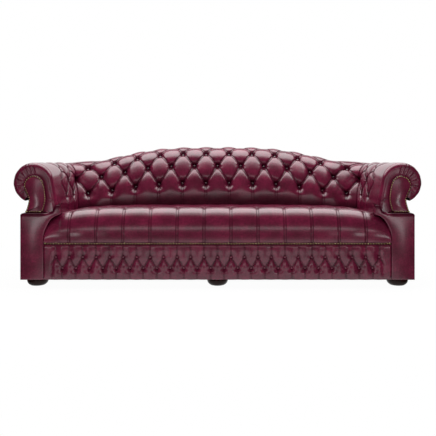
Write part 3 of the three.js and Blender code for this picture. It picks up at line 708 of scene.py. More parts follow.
def seat_outline(row):
    """Distance from the front and height at a row: -3 the bottom, -2 to -1 the rounded edge."""
    turn = (row + 2) * math.pi / 2
    stretches = [row < -2, row < -1, row < 1]
    flat_back = seat_round + (seat_first_row - seat_round) * (row + 1) / 2
    edge_back = [0, seat_round * (1 - np.cos(turn)), flat_back]
    back = np.select(stretches, edge_back, seat_first_row + (row - 1) * seat_row_pitch)
    front_z = seat_bottom + (straight_top - seat_bottom) * (row + 3)
    edge_z = [front_z, straight_top + (seat_top - straight_top) * np.sin(turn), seat_top]
    fallen = seat_fall * (back - seat_first_row) / (length - seat_first_row)
    height = np.select(stretches, edge_z, seat_top - fallen)
    past = np.clip((row - rear_row) / (seat_rows + 1 - rear_row), 0, 1) * math.pi / 2
    last_back = seat_first_row + (rear_row - 1) * seat_row_pitch
    back = np.where(past > 0, last_back + (length - last_back) * np.sin(past), back)
    return back, np.where(past > 0, height - rear_round * (1 - np.cos(past)), height)


print("seat:", round(length, 3), "deep,", round(seat_top, 3), "high")

# %% [markdown]
# ## The seat's cover
# The top is buttoned like the back, and at the front the pleats run down as straight seams to the nail line,
# with the leather drawn in beside each. The ends are rounded like a barrel and left plain.

# %% Seat cover
seat_side_power = 5.6  # how squarely the seat's ends round over
seat_depths = (14 * mm, 7 * mm)
seam_width, seam_depth = 4 * mm, 4 * mm
draw_width, draw_depth = 15 * mm, 7 * mm  # how the leather draws in beside a seam
front_swell, front_bulge = 1 * mm, 4 * mm
seat_waviness = 2 * mm


def place_seat(step, row):
    """step counts columns out to 12, and from there to 13 runs down the rounded end."""
    side = np.clip(np.abs(step) - half_columns, 0, 1)
    end_x = (1 - (1 - half_columns * seat_column / seat_half_width) * (1 - side) ** 2) * seat_half_width
    x = np.sign(step) * np.where(side > 0, end_x, np.abs(step) * seat_column)
    full = (1 - np.minimum(np.abs(x) / seat_half_width, 1) ** seat_side_power) ** (1 / seat_side_power)
    back, height = seat_outline(row)
    column, lattice_row = x / seat_column, np.maximum(row, 0.5)
    fade = smooth(half_columns + 0.2 - np.abs(column), 0, 1.4)
    sunk, dark = tufting(column, lattice_row, 1, seat_rows, (seat_column, seat_row_pitch), seat_depths)
    on_top = smooth(row, -0.4, 0.7)
    from_seam = np.abs(column - (2 * np.floor(column / 2) + 1)) * seat_column
    seam = np.exp(-((from_seam / seam_width) ** 2))
    drawn = draw_depth * np.exp(-((from_seam / draw_width) ** 2)) * smooth(row, -1.7, -0.6)
    front_sunk = seam_depth * seam + drawn + front_swell * (1 - np.cos(math.pi * column))
    sunk = (sunk * on_top + front_sunk * (1 - on_top)) * fade
    turn = np.clip(row + 2, 0, 1) * math.pi / 2
    hollow = front_bulge * (1 - np.sin(math.pi / 2 * np.clip(row + 3, 0, 1)) ** 0.5)
    y = seat_front + back + sunk * np.cos(turn) + hollow
    z = seat_bottom + (height - seat_bottom) * full - sunk * np.sin(turn)
    points = np.stack([x, y, z], axis=1)
    points[:, 2] += unevenness(points, size=0.16, amount=seat_waviness) * smooth(row, -1.5, 0)
    # painted shade: on the seams down the front, the folds and pits on top, and a dark band along the bottom
    # edge at the nail line
    dark = np.where(row < 0.5, seam * 0.2 * (1 - on_top) + dark * on_top, dark) * fade
    dark = np.maximum(dark, 0.8 * (1 - smooth(row, -3, -2.9)))
    return points, dark, pleat_map(column, lattice_row, 1, seat_rows, fade > 0.3)


seat_end = np.linspace(1 / 16, 1, 16)
seat_steps = through(-half_columns, half_columns, 2 * half_columns * fine + 1)
seat_steps = [*(-half_columns - seat_end[::-1]), *seat_steps, *(half_columns + seat_end)]
seat_lines = steps(-3, -2, 14) + steps(-2, -1, 18) + steps(-1, 1, 12) + steps(1, seat_rows, 3 * fine)
seat_lines += through(seat_rows, seat_rows + 1, 16)
seat = cover("seat_leather", seat_steps, seat_lines, place_seat, pleated_leather)
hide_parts("seat_cover")
print("seat:", len(seat.data.polygons), "faces")

# %% [markdown]
# ## The front border
# The border under the seat is a narrow, tightly buttoned band. Two staggered lines of buttons draw it into a
# zigzag of pleats, which run straight up to the nails and straight down to the bottom edge.

# %% Border
border_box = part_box("border_cover")
border_bottom, border_top = border_box[0][2], border_box[1][2]
border_front = border_box[0][1]
border_column = 41.6 * mm
border_rows = (128 * mm, 195 * mm)
border_heights = [border_bottom, *border_rows, border_top]
border_depths = (15 * mm, 4 * mm)
border_last = 24.25  # the end panels are smooth past this column
end_sunk, border_lip, border_waviness = 3 * mm, 5 * mm, 0.8 * mm


def place_border(column, row):
    z = np.interp(row, range(len(border_heights)), border_heights)
    spacing = (border_column, border_rows[1] - border_rows[0])
    sunk, dark = tufting(column, row, 1, 2, spacing, border_depths, share=0.85, full=0.3)
    plain = smooth(np.abs(column), border_last, border_last + 0.6)
    sunk = sunk * (1 - plain) + end_sunk * plain
    lip = border_lip * (smooth(row, 2.75, 3) + 1 - smooth(row, 0, 0.2))
    points = np.stack([column * border_column, border_front + sunk + lip, z], axis=1)
    points[:, 1] += unevenness(points, size=0.05, amount=border_waviness)
    # painted shade: on the folds and pits, and a dark band along the top under the seat's nails
    dark = np.maximum(dark * (1 - plain), 0.8 * smooth(row, 2.85, 3))
    return points, dark, pleat_map(column, row, 1, 2, plain < 0.5)


border_side = seat_half_width / border_column
border_columns = [-border_side, *np.linspace(-25.5, 25.5, 51 * 7 + 1), border_side]
border = cover("border_leather", border_columns, through(0, 3, 40), place_border, pleated_leather)
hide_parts("border_cover")
print("border:", len(border.data.polygons), "faces")

# %% [markdown]
# ## A domed stamp
# A covered button is a steel shell wrapped in leather and pulled in on twine, and a nail is a pressed head on
# a pin. Both show a low dome, so one short profile is spun into a dome and copied to every place, turned to
# face out of the leather there. With a few dozen faces each, hundreds of them stay light.


# %% Domes
under_rim = -0.35  # radians, where a dome's profile starts below its rim


def dome_mesh(radius, height, segments, rings):
    bm = bmesh.new()
    angles = np.linspace(under_rim, math.pi / 2, rings + 1)
    profile = [bm.verts.new((radius * math.cos(t), 0, height * math.sin(t))) for t in angles]
    edges = [bm.edges.new(pair) for pair in zip(profile, profile[1:])]
    spin = {"cent": (0, 0, 0), "axis": (0, 0, 1), "angle": 2 * math.pi, "steps": segments, "use_merge": True}
    bmesh.ops.spin(bm, geom=profile + edges, **spin)
    bmesh.ops.remove_doubles(bm, verts=bm.verts, dist=0.05 * mm)
    bmesh.ops.recalc_face_normals(bm, faces=bm.faces)
    mesh = bpy.data.meshes.new("dome")
    bm.to_mesh(mesh)
    bm.free()
    return mesh


def stamped(name, spots, radius, height, material, segments, rings):
    """One dome, copied to every spot: (place, normal)."""
    stamp = dome_mesh(radius, height, segments, rings)
    bm = bmesh.new()
    for place, normal in spots:
        start = len(bm.verts)
        bm.from_mesh(stamp)
        bm.verts.ensure_lookup_table()
        turn = Vector((0, 0, 1)).rotation_difference(Vector(normal)).to_matrix().to_4x4()
        bmesh.ops.transform(bm, matrix=Matrix.Translation(Vector(place)) @ turn, verts=bm.verts[start:])
    bpy.data.meshes.remove(stamp)
    print(name, len(spots), "pieces")
    return link(bm, name, material)


print("dome helpers ready")

# %% [markdown]
# ## Where the buttons lie
# The covers' own formulas say where each button lies and which way the leather faces there: four points
# close round a place give two lines along the leather, and the normal is square to both.


# %% Button places
nudge = 0.02  # of a column or row, to the points round a place


def lattice_spots(place, columns, rows, lift):
    """The place and normal of each button that a cover's formula gives."""
    spots = []
    for row in rows:
        for column in columns:
            if (round(column) + round(row)) % 2:
                continue
            around = column + nudge * np.array([0, 1, 0, -1, 0]), row + nudge * np.array([0, 0, 1, 0, -1])
            points = place(*around)[0]
            normal = np.cross(points[1] - points[3], points[2] - points[4])
            normal /= np.linalg.norm(normal)
            spots.append((points[0] + normal * lift, normal))
    return spots


def place_arm_lattice(column, row):
    return place_arm(2 - column / arm_columns, row)


button_rows = range(1, last_row + 1)
button_lift, border_button_lift = 0.5 * mm, 1.5 * mm
inner_columns = range(1 - half_columns, half_columns)
back_spots = lattice_spots(place_back, inner_columns, button_rows, button_lift)
seat_spots = lattice_spots(place_seat, inner_columns, range(1, seat_rows + 1), button_lift)
border_spots = lattice_spots(place_border, range(-24, 25), (1, 2), border_button_lift)
arm_spots = lattice_spots(place_arm_lattice, range(1, 5), button_rows, -button_lift)
print("button places:", len(back_spots), len(seat_spots), len(border_spots), len(arm_spots))

# %% [markdown]
# ## Covered buttons
# The border's buttons are smaller, and lie in shallower pits, so they keep the covers' own colour, while
# the others get a darker copy of the leather as painted shade. Where an arm's formula gives a normal that
# points into the stuffing of its inner face, it is turned round.

# %% Buttons
button_radius, border_button_radius = 9.5 * mm, 8 * mm
button_flatness = 0.6  # height over radius
arm_button_height = 5.5 * mm
button_sets = [
    ("back_buttons", back_spots, button_radius, button_radius * button_flatness, shaded_button_leather),
    ("seat_buttons", seat_spots, button_radius, button_radius * button_flatness, shaded_button_leather),
    ("border_buttons", border_spots, border_button_radius, border_button_radius * button_flatness, leather),
]
for side, sign in sides:
    spots = []
    for place, normal in arm_spots:
        outward = -normal if normal[0] > 0 and place[0] < arm_roll_x else normal
        spots.append((place * [sign, 1, 1], outward * [sign, 1, 1]))
    button_sets.append((f"arm_buttons_{side}", spots, button_radius, arm_button_height, shaded_button_leather))
for name, spots, radius, height, hide in button_sets:
    stamped(name, spots, radius, height, hide, segments=14, rings=4)

# %% [markdown]
# ## Scroll facings
# The keyhole panel on each scroll is a sawn board, lightly padded and wrapped in leather. It is drawn as a
# flat outline, extruded to its thickness, and bevelled, which is how padding rounds over a board's edge. Its
# middle stands a little proud.

# %% Facings
facing_front, facing_back = arm_front - 3 * mm, arm_front + 14 * mm
facing_bevel, facing_crown = 5 * mm, 2.5 * mm
close = 0.001 * mm  # for telling which faces and edges lie in one plane


def padded_board(name, outline, start, stop, bevel, crown):
    """Fill an outline of (x, z) points, draw it back from start to stop, and round and crown its front."""
    bm = bmesh.new()
    face = bm.faces.new([bm.verts.new((x, start, z)) for x, z in outline])
    made = bmesh.ops.extrude_face_region(bm, geom=[face])
    moved = [part for part in made["geom"] if isinstance(part, bmesh.types.BMVert)]
    bmesh.ops.translate(bm, verts=moved, vec=(0, stop - start, 0))
    bmesh.ops.recalc_face_normals(bm, faces=bm.faces)
    edges = [edge for edge in bm.edges if all(abs(v.co.y - start) < close for v in edge.verts)]
    rounding = {"offset": bevel, "segments": 3, "profile": 0.5, "affect": "EDGES", "material": -1}
    bmesh.ops.bevel(bm, geom=edges, **rounding)
    large = [face for face in bm.faces if len(face.verts) > 8]
    flat = [face for face in large if abs(face.calc_center_median().y - start) < close]
    bmesh.ops.inset_region(bm, faces=flat, thickness=1.5 * bevel, depth=0)
    bmesh.ops.translate(bm, verts=list({v for face in flat for v in face.verts}), vec=(0, -crown, 0))
    return link(bm, name, leather)


facing_x, facing_z = facing_at(np.linspace(0, 1, 56))
for side, sign in sides:
    outline = list(zip(facing_x * sign, facing_z))
    board = (facing_front, facing_back, facing_bevel, facing_crown)
    facing = padded_board(f"facing_leather_{side}", outline, *board)
    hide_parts(f"arm_facing_{side}")
print("facing:", round((facing_back - facing_front) / mm), "mm thick")

# %% [markdown]
# ## Arm bases: the front panel
# Under each scroll a square leather-covered block runs from front to back. Its front panel follows the seat's
# rounded end on the inside and sweeps up into the arm, so it is a grid laid between those two edges, with its
# margins wrapped round the board.

# %% Arm base fronts
base_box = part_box("arm_base_cover_right")
base_bottom, base_top = base_box[0][2], 467 * mm
base_front, base_rear = base_box[0][1], base_box[1][1]
base_inner, base_outer = seat_half_width + joint_gap, base_box[1][0]
corner = 22 * mm
shoulder_line = [(1080, 467), (1060, 470), (1044, 477), (1031, 489), (1021, 504), (1010, 515), (985, 517)]
shoulder_knots = np.array(shoulder_line[::-1]) * mm
shoulder_inner, shoulder_top = shoulder_knots[0]
beside_top = 462 * mm  # above this the seat's end no longer shapes the panel
seat_clearance, shoulder_clearance = 1.5 * mm, 12 * mm
panel_lap, lap_low, lap_high = 22 * mm, 320 * mm, 420 * mm  # how it laps over the seat's rounded edge
front_round = 10 * mm
side_round_share = 0.42  # the ledge is rounder than the sides
panel_belly = 4 * mm
wrap_back, inner_wrap_back = arm_front + 2 * mm, base_front + 110 * mm
swoop_x, swoop_width = 1050 * mm, 16 * mm  # the shoulder's bend, left out of the ledge's painted shade so its highlight shows


def seat_edge_x(z):
    """Where the seat's rounded end lies at a height."""
    share = np.clip((z - seat_bottom) / (seat_top - seat_bottom), 0, 0.999)
    return seat_half_width * (1 - share**seat_side_power) ** (1 / seat_side_power) + seat_clearance


def place_base_front(u, v):
    """u runs across the panel, 0 at its outer edge and 1 beside the seat; v runs up it. Past 0 and 1 the
    leather wraps round the board's edge."""
    across, up = np.clip(u, 0, 1), np.clip(v, 0, 1)
    top = np.interp(base_outer + (shoulder_inner - base_outer) * across, *shoulder_knots.T)
    z = base_bottom + (top - base_bottom) * up
    inner = np.where(z < seat_bottom, base_inner, seat_edge_x(np.minimum(z, beside_top)))
    inner = inner + smooth(z, beside_top, shoulder_top) * shoulder_clearance
    lap = panel_lap * smooth(z, lap_low, lap_high)
    in_corner = np.clip((z - base_top + corner) / corner, 0, 1)
    outer = base_outer - corner * (1 - np.sqrt(1 - in_corner**2))
    x = outer + (inner - lap - outer) * across
    to_side = np.minimum(np.maximum(base_outer - x, 0), np.maximum(x - inner + lap, 0))
    to_edge = np.minimum(to_side, np.maximum(top - z, 0) * side_round_share)
    near = np.clip(1 - to_edge / front_round, 0, 1)
    belly = panel_belly * np.sin(math.pi * across) * np.sin(math.pi * up) ** 0.6
    y = base_front + panel_belly + front_round * (1 - np.sqrt(1 - near**2)) - belly
    past_inner = np.maximum(u - 1, 0)
    wrap = np.maximum(np.maximum(-u, past_inner), np.maximum(v - 1, 0))
    y = y + (np.where(u > 1, inner_wrap_back, wrap_back) - y) * wrap
    points = np.stack([x + lap * past_inner, y, z], axis=1)
    # painted shade: on the margins that wrap round the board, the rounded edges, and the ledge under the
    # facing, except at the shoulder's bend
    swoop = np.exp(-(((x - swoop_x) / swoop_width) ** 2))
    under_facing = 0.85 * smooth(up, 0.93, 0.98) * (1 - 0.9 * swoop)
    return points, np.maximum(0.7 * wrap + 0.3 * near**3, under_facing), plain_map(x)


panel_columns = [-1, -0.5, *through(0, 0.14, 12), *through(0.16, 0.84, 24), *through(0.86, 1, 12), 1.5, 2]
panel_rows = [*through(0, 0.9, 40), *through(0.905, 1, 16), 1.5, 2]
print("panel:", len(panel_columns), "by", len(panel_rows), "lines")

# %% [markdown]
# ## Arm bases: the long sides
# Behind the panel the block is plain, so a cube is stretched to its size and its long outer arris bevelled
# wide. A fine Bevel modifier takes the sharpness off the other edges.


# %% Arm base sides
def base_side(name, sign):
    bm = bmesh.new()
    bmesh.ops.create_cube(bm, size=1)
    low = Vector((base_inner, arm_front + joint_gap, base_bottom))
    high = Vector((base_outer, base_rear, base_top))
    for vertex in bm.verts:
        vertex.co = [a + (c + 0.5) * (b - a) for a, b, c in zip(low, high, vertex.co)]
    outer = [edge for edge in bm.edges if all(v.co.x > base_outer - mm for v in edge.verts)]
    arris = [edge for edge in outer if all(v.co.z > base_top - mm for v in edge.verts)]
    bmesh.ops.bevel(bm, geom=arris, offset=corner, segments=6, profile=0.5, affect="EDGES", material=-1)
    if sign < 0:
        bmesh.ops.scale(bm, vec=(-1, 1, 1), verts=bm.verts)
        bmesh.ops.reverse_faces(bm, faces=bm.faces)
    return link(bm, name, leather)


def soften(piece, name, width):
    """Round a piece's edges with a narrow Bevel modifier."""
    edge = piece.modifiers.new(name, "BEVEL")
    edge.width = width
    edge.segments = 2
    edge.limit_method = "ANGLE"


for side, sign in sides:
    place_side = mirrored(place_base_front, sign)
    lines = (panel_columns, panel_rows)
    panel = cover(f"arm_base_front_{side}", *lines, place_side, pleated_leather, flip=sign > 0)
    long_side = base_side(f"arm_base_side_{side}", sign)
    soften(long_side, "soft_edge", 3 * mm)
    for piece in (panel, long_side):
        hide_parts(f"arm_base_cover_{side}")
print("arm bases:", round(base_outer - base_inner, 3), "wide")

# %% [markdown]
# ## The outside back
# Behind the rolls the sofa is plain: one panel across the whole back and one along each arm's neck, stretched
# over card and closed by hand. A slight fullness keeps them from looking like sheet metal.

# %% Outside back
outside_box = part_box("outside_back_cover")
outside_arm_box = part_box("outside_arm_cover_right")
hem, neck_x, outside_y = outside_box[0][2], outside_box[1][0], outside_box[1][1]
panel_top = outside_arm_box[1][2]
back_recess, back_fill, back_waviness = 3 * mm, 4 * mm, 1.2 * mm


def place_outside_back(across, up):
    """across runs from -1 to 1; up from 0 at the hem to 1 at the arm base's top and 2 under the roll."""
    x = across * np.where(up < 1, base_inner - mm, neck_x)
    top = panel_top + rise_at(x / column_width)
    z = np.where(up <= 1, hem + (base_top - hem) * up, base_top + (top - base_top) * (up - 1))
    fullness = np.cos(across * math.pi / 2) ** 0.3 * np.sin(np.clip(up / 2, 0.02, 1) * math.pi) ** 0.3
    points = np.stack([x, outside_y - back_recess + back_fill * fullness, z], axis=1)
    points[:, 1] += unevenness(points, size=0.22, amount=back_waviness)
    # painted shade: darker just under the roll and at the two ends
    dark = np.maximum(0.6 * smooth(up, 1.8, 2), 0.5 * smooth(np.abs(across), 0.99, 1))
    return points, dark, plain_map(x)


outside_rows = [*steps(0, 0.999, 20), 0.999, 1.001, *through(1.05, 2, 16)]
outside_grid = (through(-1, 1, 121), outside_rows)
outside = cover("outside_back_leather", *outside_grid, place_outside_back, pleated_leather, flip=True)
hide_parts("outside_back_cover")
print("outside back:", len(outside.data.polygons), "faces")

# %% [markdown]
# ## The outside arms
# Each neck panel leans outwards at its foot, where it meets the arm base, and stands upright above.

# %% Outside arms
outside_lean = outside_arm_box[1][0] - neck_x
neck_waviness = 1 * mm


def place_outside_arm(along, up):
    """along runs from the facing to the rear; up from 0 on the arm base to 1 behind the roll."""
    y = facing_back + (outside_y - facing_back) * along
    z = base_top + (panel_top - base_top) * up
    x = neck_x + outside_lean * np.clip(1 - up / 0.5, 0, 1) ** 1.6
    points = np.stack([x, y, z], axis=1)
    points[:, 0] += unevenness(points, size=0.15, amount=neck_waviness)
    # painted shade: darker towards the top, under the roll
    return points, 0.7 * smooth(up, 0.4, 0.9), plain_map(x)


for side, sign in sides:
    place_side = mirrored(place_outside_arm, sign)
    neck_grid = (through(0, 1, 40), through(0, 1, 16))
    neck = cover(f"outside_arm_leather_{side}", *neck_grid, place_side, pleated_leather, flip=sign < 0)
    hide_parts(f"outside_arm_cover_{side}")
print("outside arms lean", round(outside_lean / mm, 1), "mm")

# %% [markdown]
# ## The seat's nails
# A line of nails holds a narrow leather band between seat and border. The heads lie a little more than a
# head's width apart, so that each one shows. The band is a grid rounded like a cord that the nails flatten.

# %% Seat nails
nail_radius, nail_height, nail_pitch = 3.6 * mm, 3 * mm, 16.6 * mm
trim_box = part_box("seat_nail_trim")
trim_z = (trim_box[0][2] + trim_box[1][2]) / 2
nail_front = trim_box[0][1] + 1 * mm
last_nail_x = seat_half_width - 8 * mm
band_half_height, band_back, band_swell = 6.5 * mm, 5 * mm, 4 * mm
nail_xs = np.linspace(-last_nail_x, last_nail_x, int(2 * last_nail_x / nail_pitch))
nail_spots = [((x, nail_front, trim_z), (0, -1, 0)) for x in nail_xs]
nail = {"height": nail_height, "material": antique_brass, "segments": 8, "rings": 3}
nails = stamped("seat_nails", nail_spots, nail_radius, **nail)
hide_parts("seat_nail_trim")


def place_band(across, around):
    x = across * (seat_half_width - mm)
    y = nail_front + band_back - band_swell * np.cos(around * math.pi / 2) ** 0.5
    points = np.stack([x, y, trim_z + band_half_height * around], axis=1)
    # painted shade: the band is painted near-black, as the shade between the nails
    return points, 0.75 + 0.2 * np.abs(around), plain_map(x)


cover("nail_band_leather", through(-1, 1, 61), through(-1, 1, 9), place_band, pleated_leather)

# %% [markdown]
# ## The facings' nails and welts
# The same nails follow the edge of each facing, on a flat welt of leather. The welt is a grid laid between two
# lines that run round the facing at different distances from its edge.

# %% Facing nails and welts
facing_nail_radius, facing_nail_pitch = 3.5 * mm, 14.6 * mm
nail_inset, nail_proud = 6 * mm, 1.2 * mm
welt_insets, welt_swell, welt_hide = (2 * mm, 10 * mm), 1.5 * mm, 1 * mm


def facing_loop(inset):
    """The facing's outline, drawn in by an inset, as a closed line of (x, z) points."""
    loop = np.stack(facing_at(np.linspace(0, 1, 400)), axis=1)
    loop = np.vstack([loop, np.linspace(loop[-1], loop[0], 60)[1:]])
    tangent = np.gradient(loop, axis=0)
    tangent /= np.linalg.norm(tangent, axis=1)[:, None]
    return loop + np.stack([tangent[:, 1], -tangent[:, 0]], axis=1) * inset


def facing_nail_line():
    """Points at an even pitch round the facing, a little inside its edge."""
    loop = facing_loop(nail_inset)
    lengths = np.concatenate([[0], np.cumsum(np.linalg.norm(np.diff(loop, axis=0), axis=1))])
    places = steps(0, lengths[-1], int(lengths[-1] / facing_nail_pitch))
    return [[np.interp(place, lengths, loop[:, i]) for i in (0, 1)] for place in places]


def place_welt(along, across):
    outer, inner = (facing_loop(inset) for inset in welt_insets)
    knots = range(len(outer))
    x, z = (
        np.interp(along, knots, outer[:, i]) * (1 - across) + np.interp(along, knots, inner[:, i]) * across
        for i in (0, 1)
    )
    y = facing_front - welt_swell * np.sin(across * math.pi) ** 0.5
    # painted shade: the welt is painted dark, as the shade round the nails
    return np.stack([x, y, z], axis=1), np.full(len(x), 0.7), plain_map(x)


welt_grid = (list(range(len(facing_loop(0))))[::2], [0, 0.25, 0.75, 1])
for side, sign in sides:
    nail_places = [(x * sign, facing_front - nail_proud, z) for x, z in facing_nail_line()]
    spots = [(place, (0, -1, 0)) for place in nail_places]
    nails = stamped(f"facing_nails_{side}", spots, facing_nail_radius, **nail)
    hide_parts(f"arm_nail_trim_{side}")
    place_side = mirrored(place_welt, sign)
    cover(f"facing_welt_{side}", *welt_grid, place_side, pleated_leather, hide=welt_hide, flip=sign > 0)

# %% [markdown]
# ## Bun feet
# Each foot is turned on a lathe, so it is made the same way here: half its outline, spun a full turn. The
# profile is widest at three fifths of its height, with a small cove under the rail.

# %% Feet
foot_profile_shares = [
    # radius and height, as shares of the foot's own
    (0, 0), (0.55, 0), (0.68, 0.04), (0.82, 0.15), (0.93, 0.3), (0.99, 0.47), (1, 0.6), (0.97, 0.74),
    (0.9, 0.86), (0.84, 0.9), (0.84, 1), (0, 1),
]


def turned_foot(node):
    low, high = (Vector(point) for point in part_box(node))
    middle, radius = (low + high) / 2, (high.x - low.x) / 2
    bm = bmesh.new()
    profile = [(radius * r, low.z + (high.z - low.z) * h) for r, h in foot_profile_shares]
    verts = [bm.verts.new((middle.x + x, middle.y, z)) for x, z in profile]
    edges = [bm.edges.new(pair) for pair in zip(verts, verts[1:])]
    lathe = {"cent": (middle.x, middle.y, 0), "axis": (0, 0, 1), "angle": 2 * math.pi, "steps": 40}
    bmesh.ops.spin(bm, geom=verts + edges, use_merge=True, **lathe)
    bmesh.ops.remove_doubles(bm, verts=bm.verts, dist=0.01 * mm)
    bmesh.ops.recalc_face_normals(bm, faces=bm.faces)
    return link(bm, node + "_turned", foot_wood)


foot_nodes = sorted(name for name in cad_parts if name.startswith("foot_") and "bolt" not in name)
for node in foot_nodes:
    foot = turned_foot(node)
    soften(foot, "turned_edge", 1.5 * mm)
    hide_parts(node)
print("feet:", len(foot_nodes))

# %% [markdown]
# ## Foam under the leather
# Each foam block keeps the outline it has in the frame, but foam has no sharp arris and no flat face. A Remesh
# modifier turns the block into even cells, a Smooth modifier relaxes its edges, and a slow noise gives it the
# waviness of a hand-cut block.

# %% Foam blocks
foam_cell = 14 * mm
foam_waviness = 4 * mm


def soft_block(node_name):
    bm = bmesh.new()
    bm.from_mesh(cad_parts[node_name].data)
    bmesh.ops.remove_doubles(bm, verts=bm.verts, dist=0.01 * mm)
    block = link(bm, node_name.replace("foam", "pad"), foam)
    cells = block.modifiers.new("cells", "REMESH")
    cells.mode = "VOXEL"
    cells.voxel_size = foam_cell
    cells.use_smooth_shade = True
    relaxed = block.modifiers.new("relaxed_edges", "SMOOTH")
    relaxed.factor = 0.5
    relaxed.iterations = 6
    clouds = bpy.data.textures.new("waviness", "CLOUDS")
    clouds.noise_scale = 0.12
    wavy = block.modifiers.new("hand_cut", "DISPLACE")
    wavy.texture = clouds
    wavy.strength = foam_waviness
    wavy.mid_level = 0.8
    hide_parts(node_name)
    return block


for node_name in ("back_foam", "seat_foam", "arm_foam_right", "arm_foam_left"):
    print("foam:", soft_block(node_name).name)

# %% [markdown]
# ## Hessian and bottom cloth
# A hessian deck is pulled tight over the springs and dips a little between them. A thin black cloth closes the
# underside. It is tacked along the rails, and it hangs a millimetre or so low between them.

# %% Cloths
spring_count = sum(name.startswith("seat_spring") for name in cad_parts)
springs = [f"seat_spring_{i + 1}" for i in range(spring_count)]
spring_middles = np.array([(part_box(name)[0][0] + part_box(name)[1][0]) / 2 for name in springs])
cloth_margin, cloth_hide = 2 * mm, 0.8 * mm
deck_sag, bottom_sag, bottom_half_width = 1.5 * mm, 1.2 * mm, 1205 * mm


def stretched_cloth(name, node_name, dip_at, material, slot):
    low, high = (Vector(point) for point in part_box(node_name))

    def place(x, y):
        points = np.stack([x, y, (low.z + high.z) / 2 - dip_at(x)], axis=1)
        return points, np.zeros(len(x)), plain_map(x)

    columns = through(low.x + cloth_margin, high.x - cloth_margin, 145)
    rows = through(low.y + cloth_margin, high.y - cloth_margin, 33)
    cloth = cover(name, columns, rows, place, material, slot, cloth_hide)
    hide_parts(node_name)


def deck_dip(x):
    away = np.min(np.abs(x[:, None] - spring_middles), axis=1)
    return deck_sag * smooth(away, 0.02, 0.12)


def bottom_dip(x):
    across = np.clip(np.abs(x) / bottom_half_width, 0, 1) * math.pi / 2
    return bottom_sag * np.cos(across) * np.abs(np.sin(x * 5)) ** 0.5


stretched_cloth("hessian_deck", "seat_deck", deck_dip, hessian, "deck_cloth")
stretched_cloth("bottom_cloth", "dust_cover", bottom_dip, black_cloth, "dust_cloth")
print("cloths over", spring_count, "springs")

# %% [markdown]
# ## The timber and springs
# The timber, springs and bolts keep the frame's own shapes, which are right, and get their finishes.

# %% Frame finishes
finishes = dict.fromkeys(("rail", "post", "board", "stay"), beech)
finishes.update(dict.fromkeys(("spring", "bolt"), spring_steel))
dressed = 0
for name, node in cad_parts.items():
    for word, material in finishes.items():
        if word in name:
            node.data.materials.clear()
            node.data.materials.append(material)
            dressed += 1
print("dressed", dressed, "frame nodes")

# %% [markdown]
# ## The lamps
# A product photo of dark leather needs large lamps. Two softboxes overhead light the tops of the puffs, a long
# strip in front lights the upright faces, and two small low ones light the facings and the arm bases. Places
# and sizes are in metres, powers in watts.


# %% Lamps
def softbox(name, place, aim, size, power):
    lamp = bpy.data.lights.new(name, "AREA")
    lamp.shape = "RECTANGLE"
    lamp.size, lamp.size_y = size
    lamp.energy = power
    box = bpy.data.objects.new(name, lamp)
    box.location = place
    box.rotation_euler = (Vector(aim) - Vector(place)).to_track_quat("-Z", "Y").to_euler()
    scene.collection.objects.link(box)


softbox("overhead_softbox", place=(0, 0.05, 2.6), aim=(0, 0.05, 0), size=(4.6, 1.9), power=88)
softbox("overhead_fill", place=(0, -0.2, 2.65), aim=(0, -0.2, 0), size=(4.8, 2.8), power=62)
for sign in (-1, 1):
    place, aim = (sign * 2.2, -4.3, 0.17), (sign * 1.14, 0, 0.3)
    softbox("side_strip", place, aim, size=(0.26, 0.34), power=3.2)
softbox("front_strip", place=(0, -4.3, 1.2), aim=(0, 0, 0.4), size=(4.2, 0.4), power=12)
print("lamps:", len(bpy.data.lights))

# %% [markdown]
# ## The floor
# The studio's floor is white paper. The camera sees it white, with a trace of the sofa's shadow near the
# sofa, whose shaded parts get the soft light that pale matt paper sends back. Reflections see a glow that ends
# about a metre in front of the sofa and level with its arms, so that the low leather keeps its dark parts.

# %% Floor
paper_white, paper_roughness = "#f2f2f2", 0.8
glow, glow_reach, glow_half_width = 0.85, (-1.9, -1.4), (1.1, 1.3)
shadow_share, shadow_reach = 0.97, (1.2, 2.4)


def smooth_change(tree, value, between, start, stop):
    """A value that goes smoothly from start to stop while the input goes between its two limits."""
    inputs = {0: value, 1: between[0], 2: between[1], 3: start, 4: stop}
    return add_node(tree, "MapRange", inputs, interpolation_type="SMOOTHSTEP")


floor_material, tree, shader = new_material("pale_floor")
fill(tree, shader, {"Base Color": linear(paper_white), "Roughness": paper_roughness})
rays = add_node(tree, "LightPath").outputs
place = add_node(tree, "TexCoord").outputs["Object"]
distance = add_node(tree, "VectorMath", {0: place}, operation="LENGTH").outputs["Value"]
white = add_node(tree, "Emission", {"Color": (1, 1, 1, 1), "Strength": 1.0})
plain = smooth_change(tree, distance, shadow_reach, shadow_share, 1)
plain = add_node(tree, "Math", {0: plain, 1: rays["Is Camera Ray"]}, operation="MULTIPLY")
seen = add_node(tree, "MixShader", {0: plain, 1: shader, 2: white})
axes = add_node(tree, "SeparateXYZ", {0: place}).outputs
forward = smooth_change(tree, axes["Y"], glow_reach, 0, glow)
aside = add_node(tree, "Math", {0: axes["X"]}, operation="ABSOLUTE")
aside = smooth_change(tree, aside, glow_half_width, 1, 0)
strength = add_node(tree, "Math", {0: forward, 1: aside}, operation="MULTIPLY")
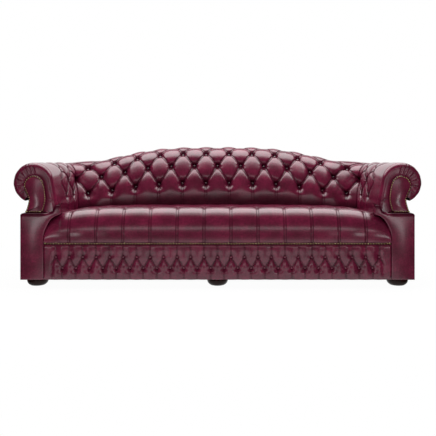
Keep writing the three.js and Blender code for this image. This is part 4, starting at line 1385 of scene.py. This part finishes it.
reflected = add_node(tree, "Emission", {"Color": (1, 1, 1, 1), "Strength": strength})
surface = add_node(tree, "MixShader", {0: rays["Is Glossy Ray"], 1: seen, 2: reflected})
fill(tree, tree.nodes["Material Output"], {"Surface": surface})
bm = bmesh.new()
bmesh.ops.create_grid(bm, x_segments=1, y_segments=1, size=12)
floor_mesh = bpy.data.meshes.new("floor")
bm.to_mesh(floor_mesh)
bm.free()
floor_mesh.materials.append(floor_material)
floor = bpy.data.objects.new("floor", floor_mesh)
scene.collection.objects.link(floor)
print("floor", tuple(floor.dimensions))

# %% [markdown]
# ## The room
# The room behind the camera is dark and the paper behind the sofa is bright, as in a studio. The camera sees
# only white. Reflections see the bright ceiling and the paper, and matt surfaces get a little light from all
# round, more from the front.

# %% Room
ceiling, paper_behind, room_light = (0.88, 0.99), (0.3, 0.9), (-0.3, 0.5)
front_light, back_light = 0.5, 0.22
dark_room = 0.02
world = bpy.data.worlds.new("studio")
scene.world = world
world.use_nodes = True
tree = world.node_tree
rays = add_node(tree, "LightPath").outputs
generated = add_node(tree, "TexCoord").outputs["Generated"]
way = add_node(tree, "SeparateXYZ", {0: generated}).outputs
overhead = smooth_change(tree, way["Z"], ceiling, 0, 1)
behind = smooth_change(tree, way["Y"], paper_behind, dark_room, 1)
matt = smooth_change(tree, way["Y"], room_light, front_light, back_light)
bright = add_node(tree, "Math", {0: overhead, 1: behind}, operation="MAXIMUM")
seen_rays = {0: rays["Is Camera Ray"], 1: rays["Is Transmission Ray"]}
seen = add_node(tree, "Math", seen_rays, operation="MAXIMUM")
reflected = add_node(tree, "Math", {0: rays["Is Glossy Ray"], 1: bright}, operation="MULTIPLY")
scattered = add_node(tree, "Math", {0: rays["Is Diffuse Ray"], 1: matt}, operation="MULTIPLY")
strength = add_node(tree, "Math", {0: seen, 1: reflected}, operation="ADD")
strength = add_node(tree, "Math", {0: strength, 1: scattered}, operation="ADD")
fill(tree, tree.nodes["Background"], {"Color": (1, 1, 1, 1), "Strength": strength})
print("world", world.name)
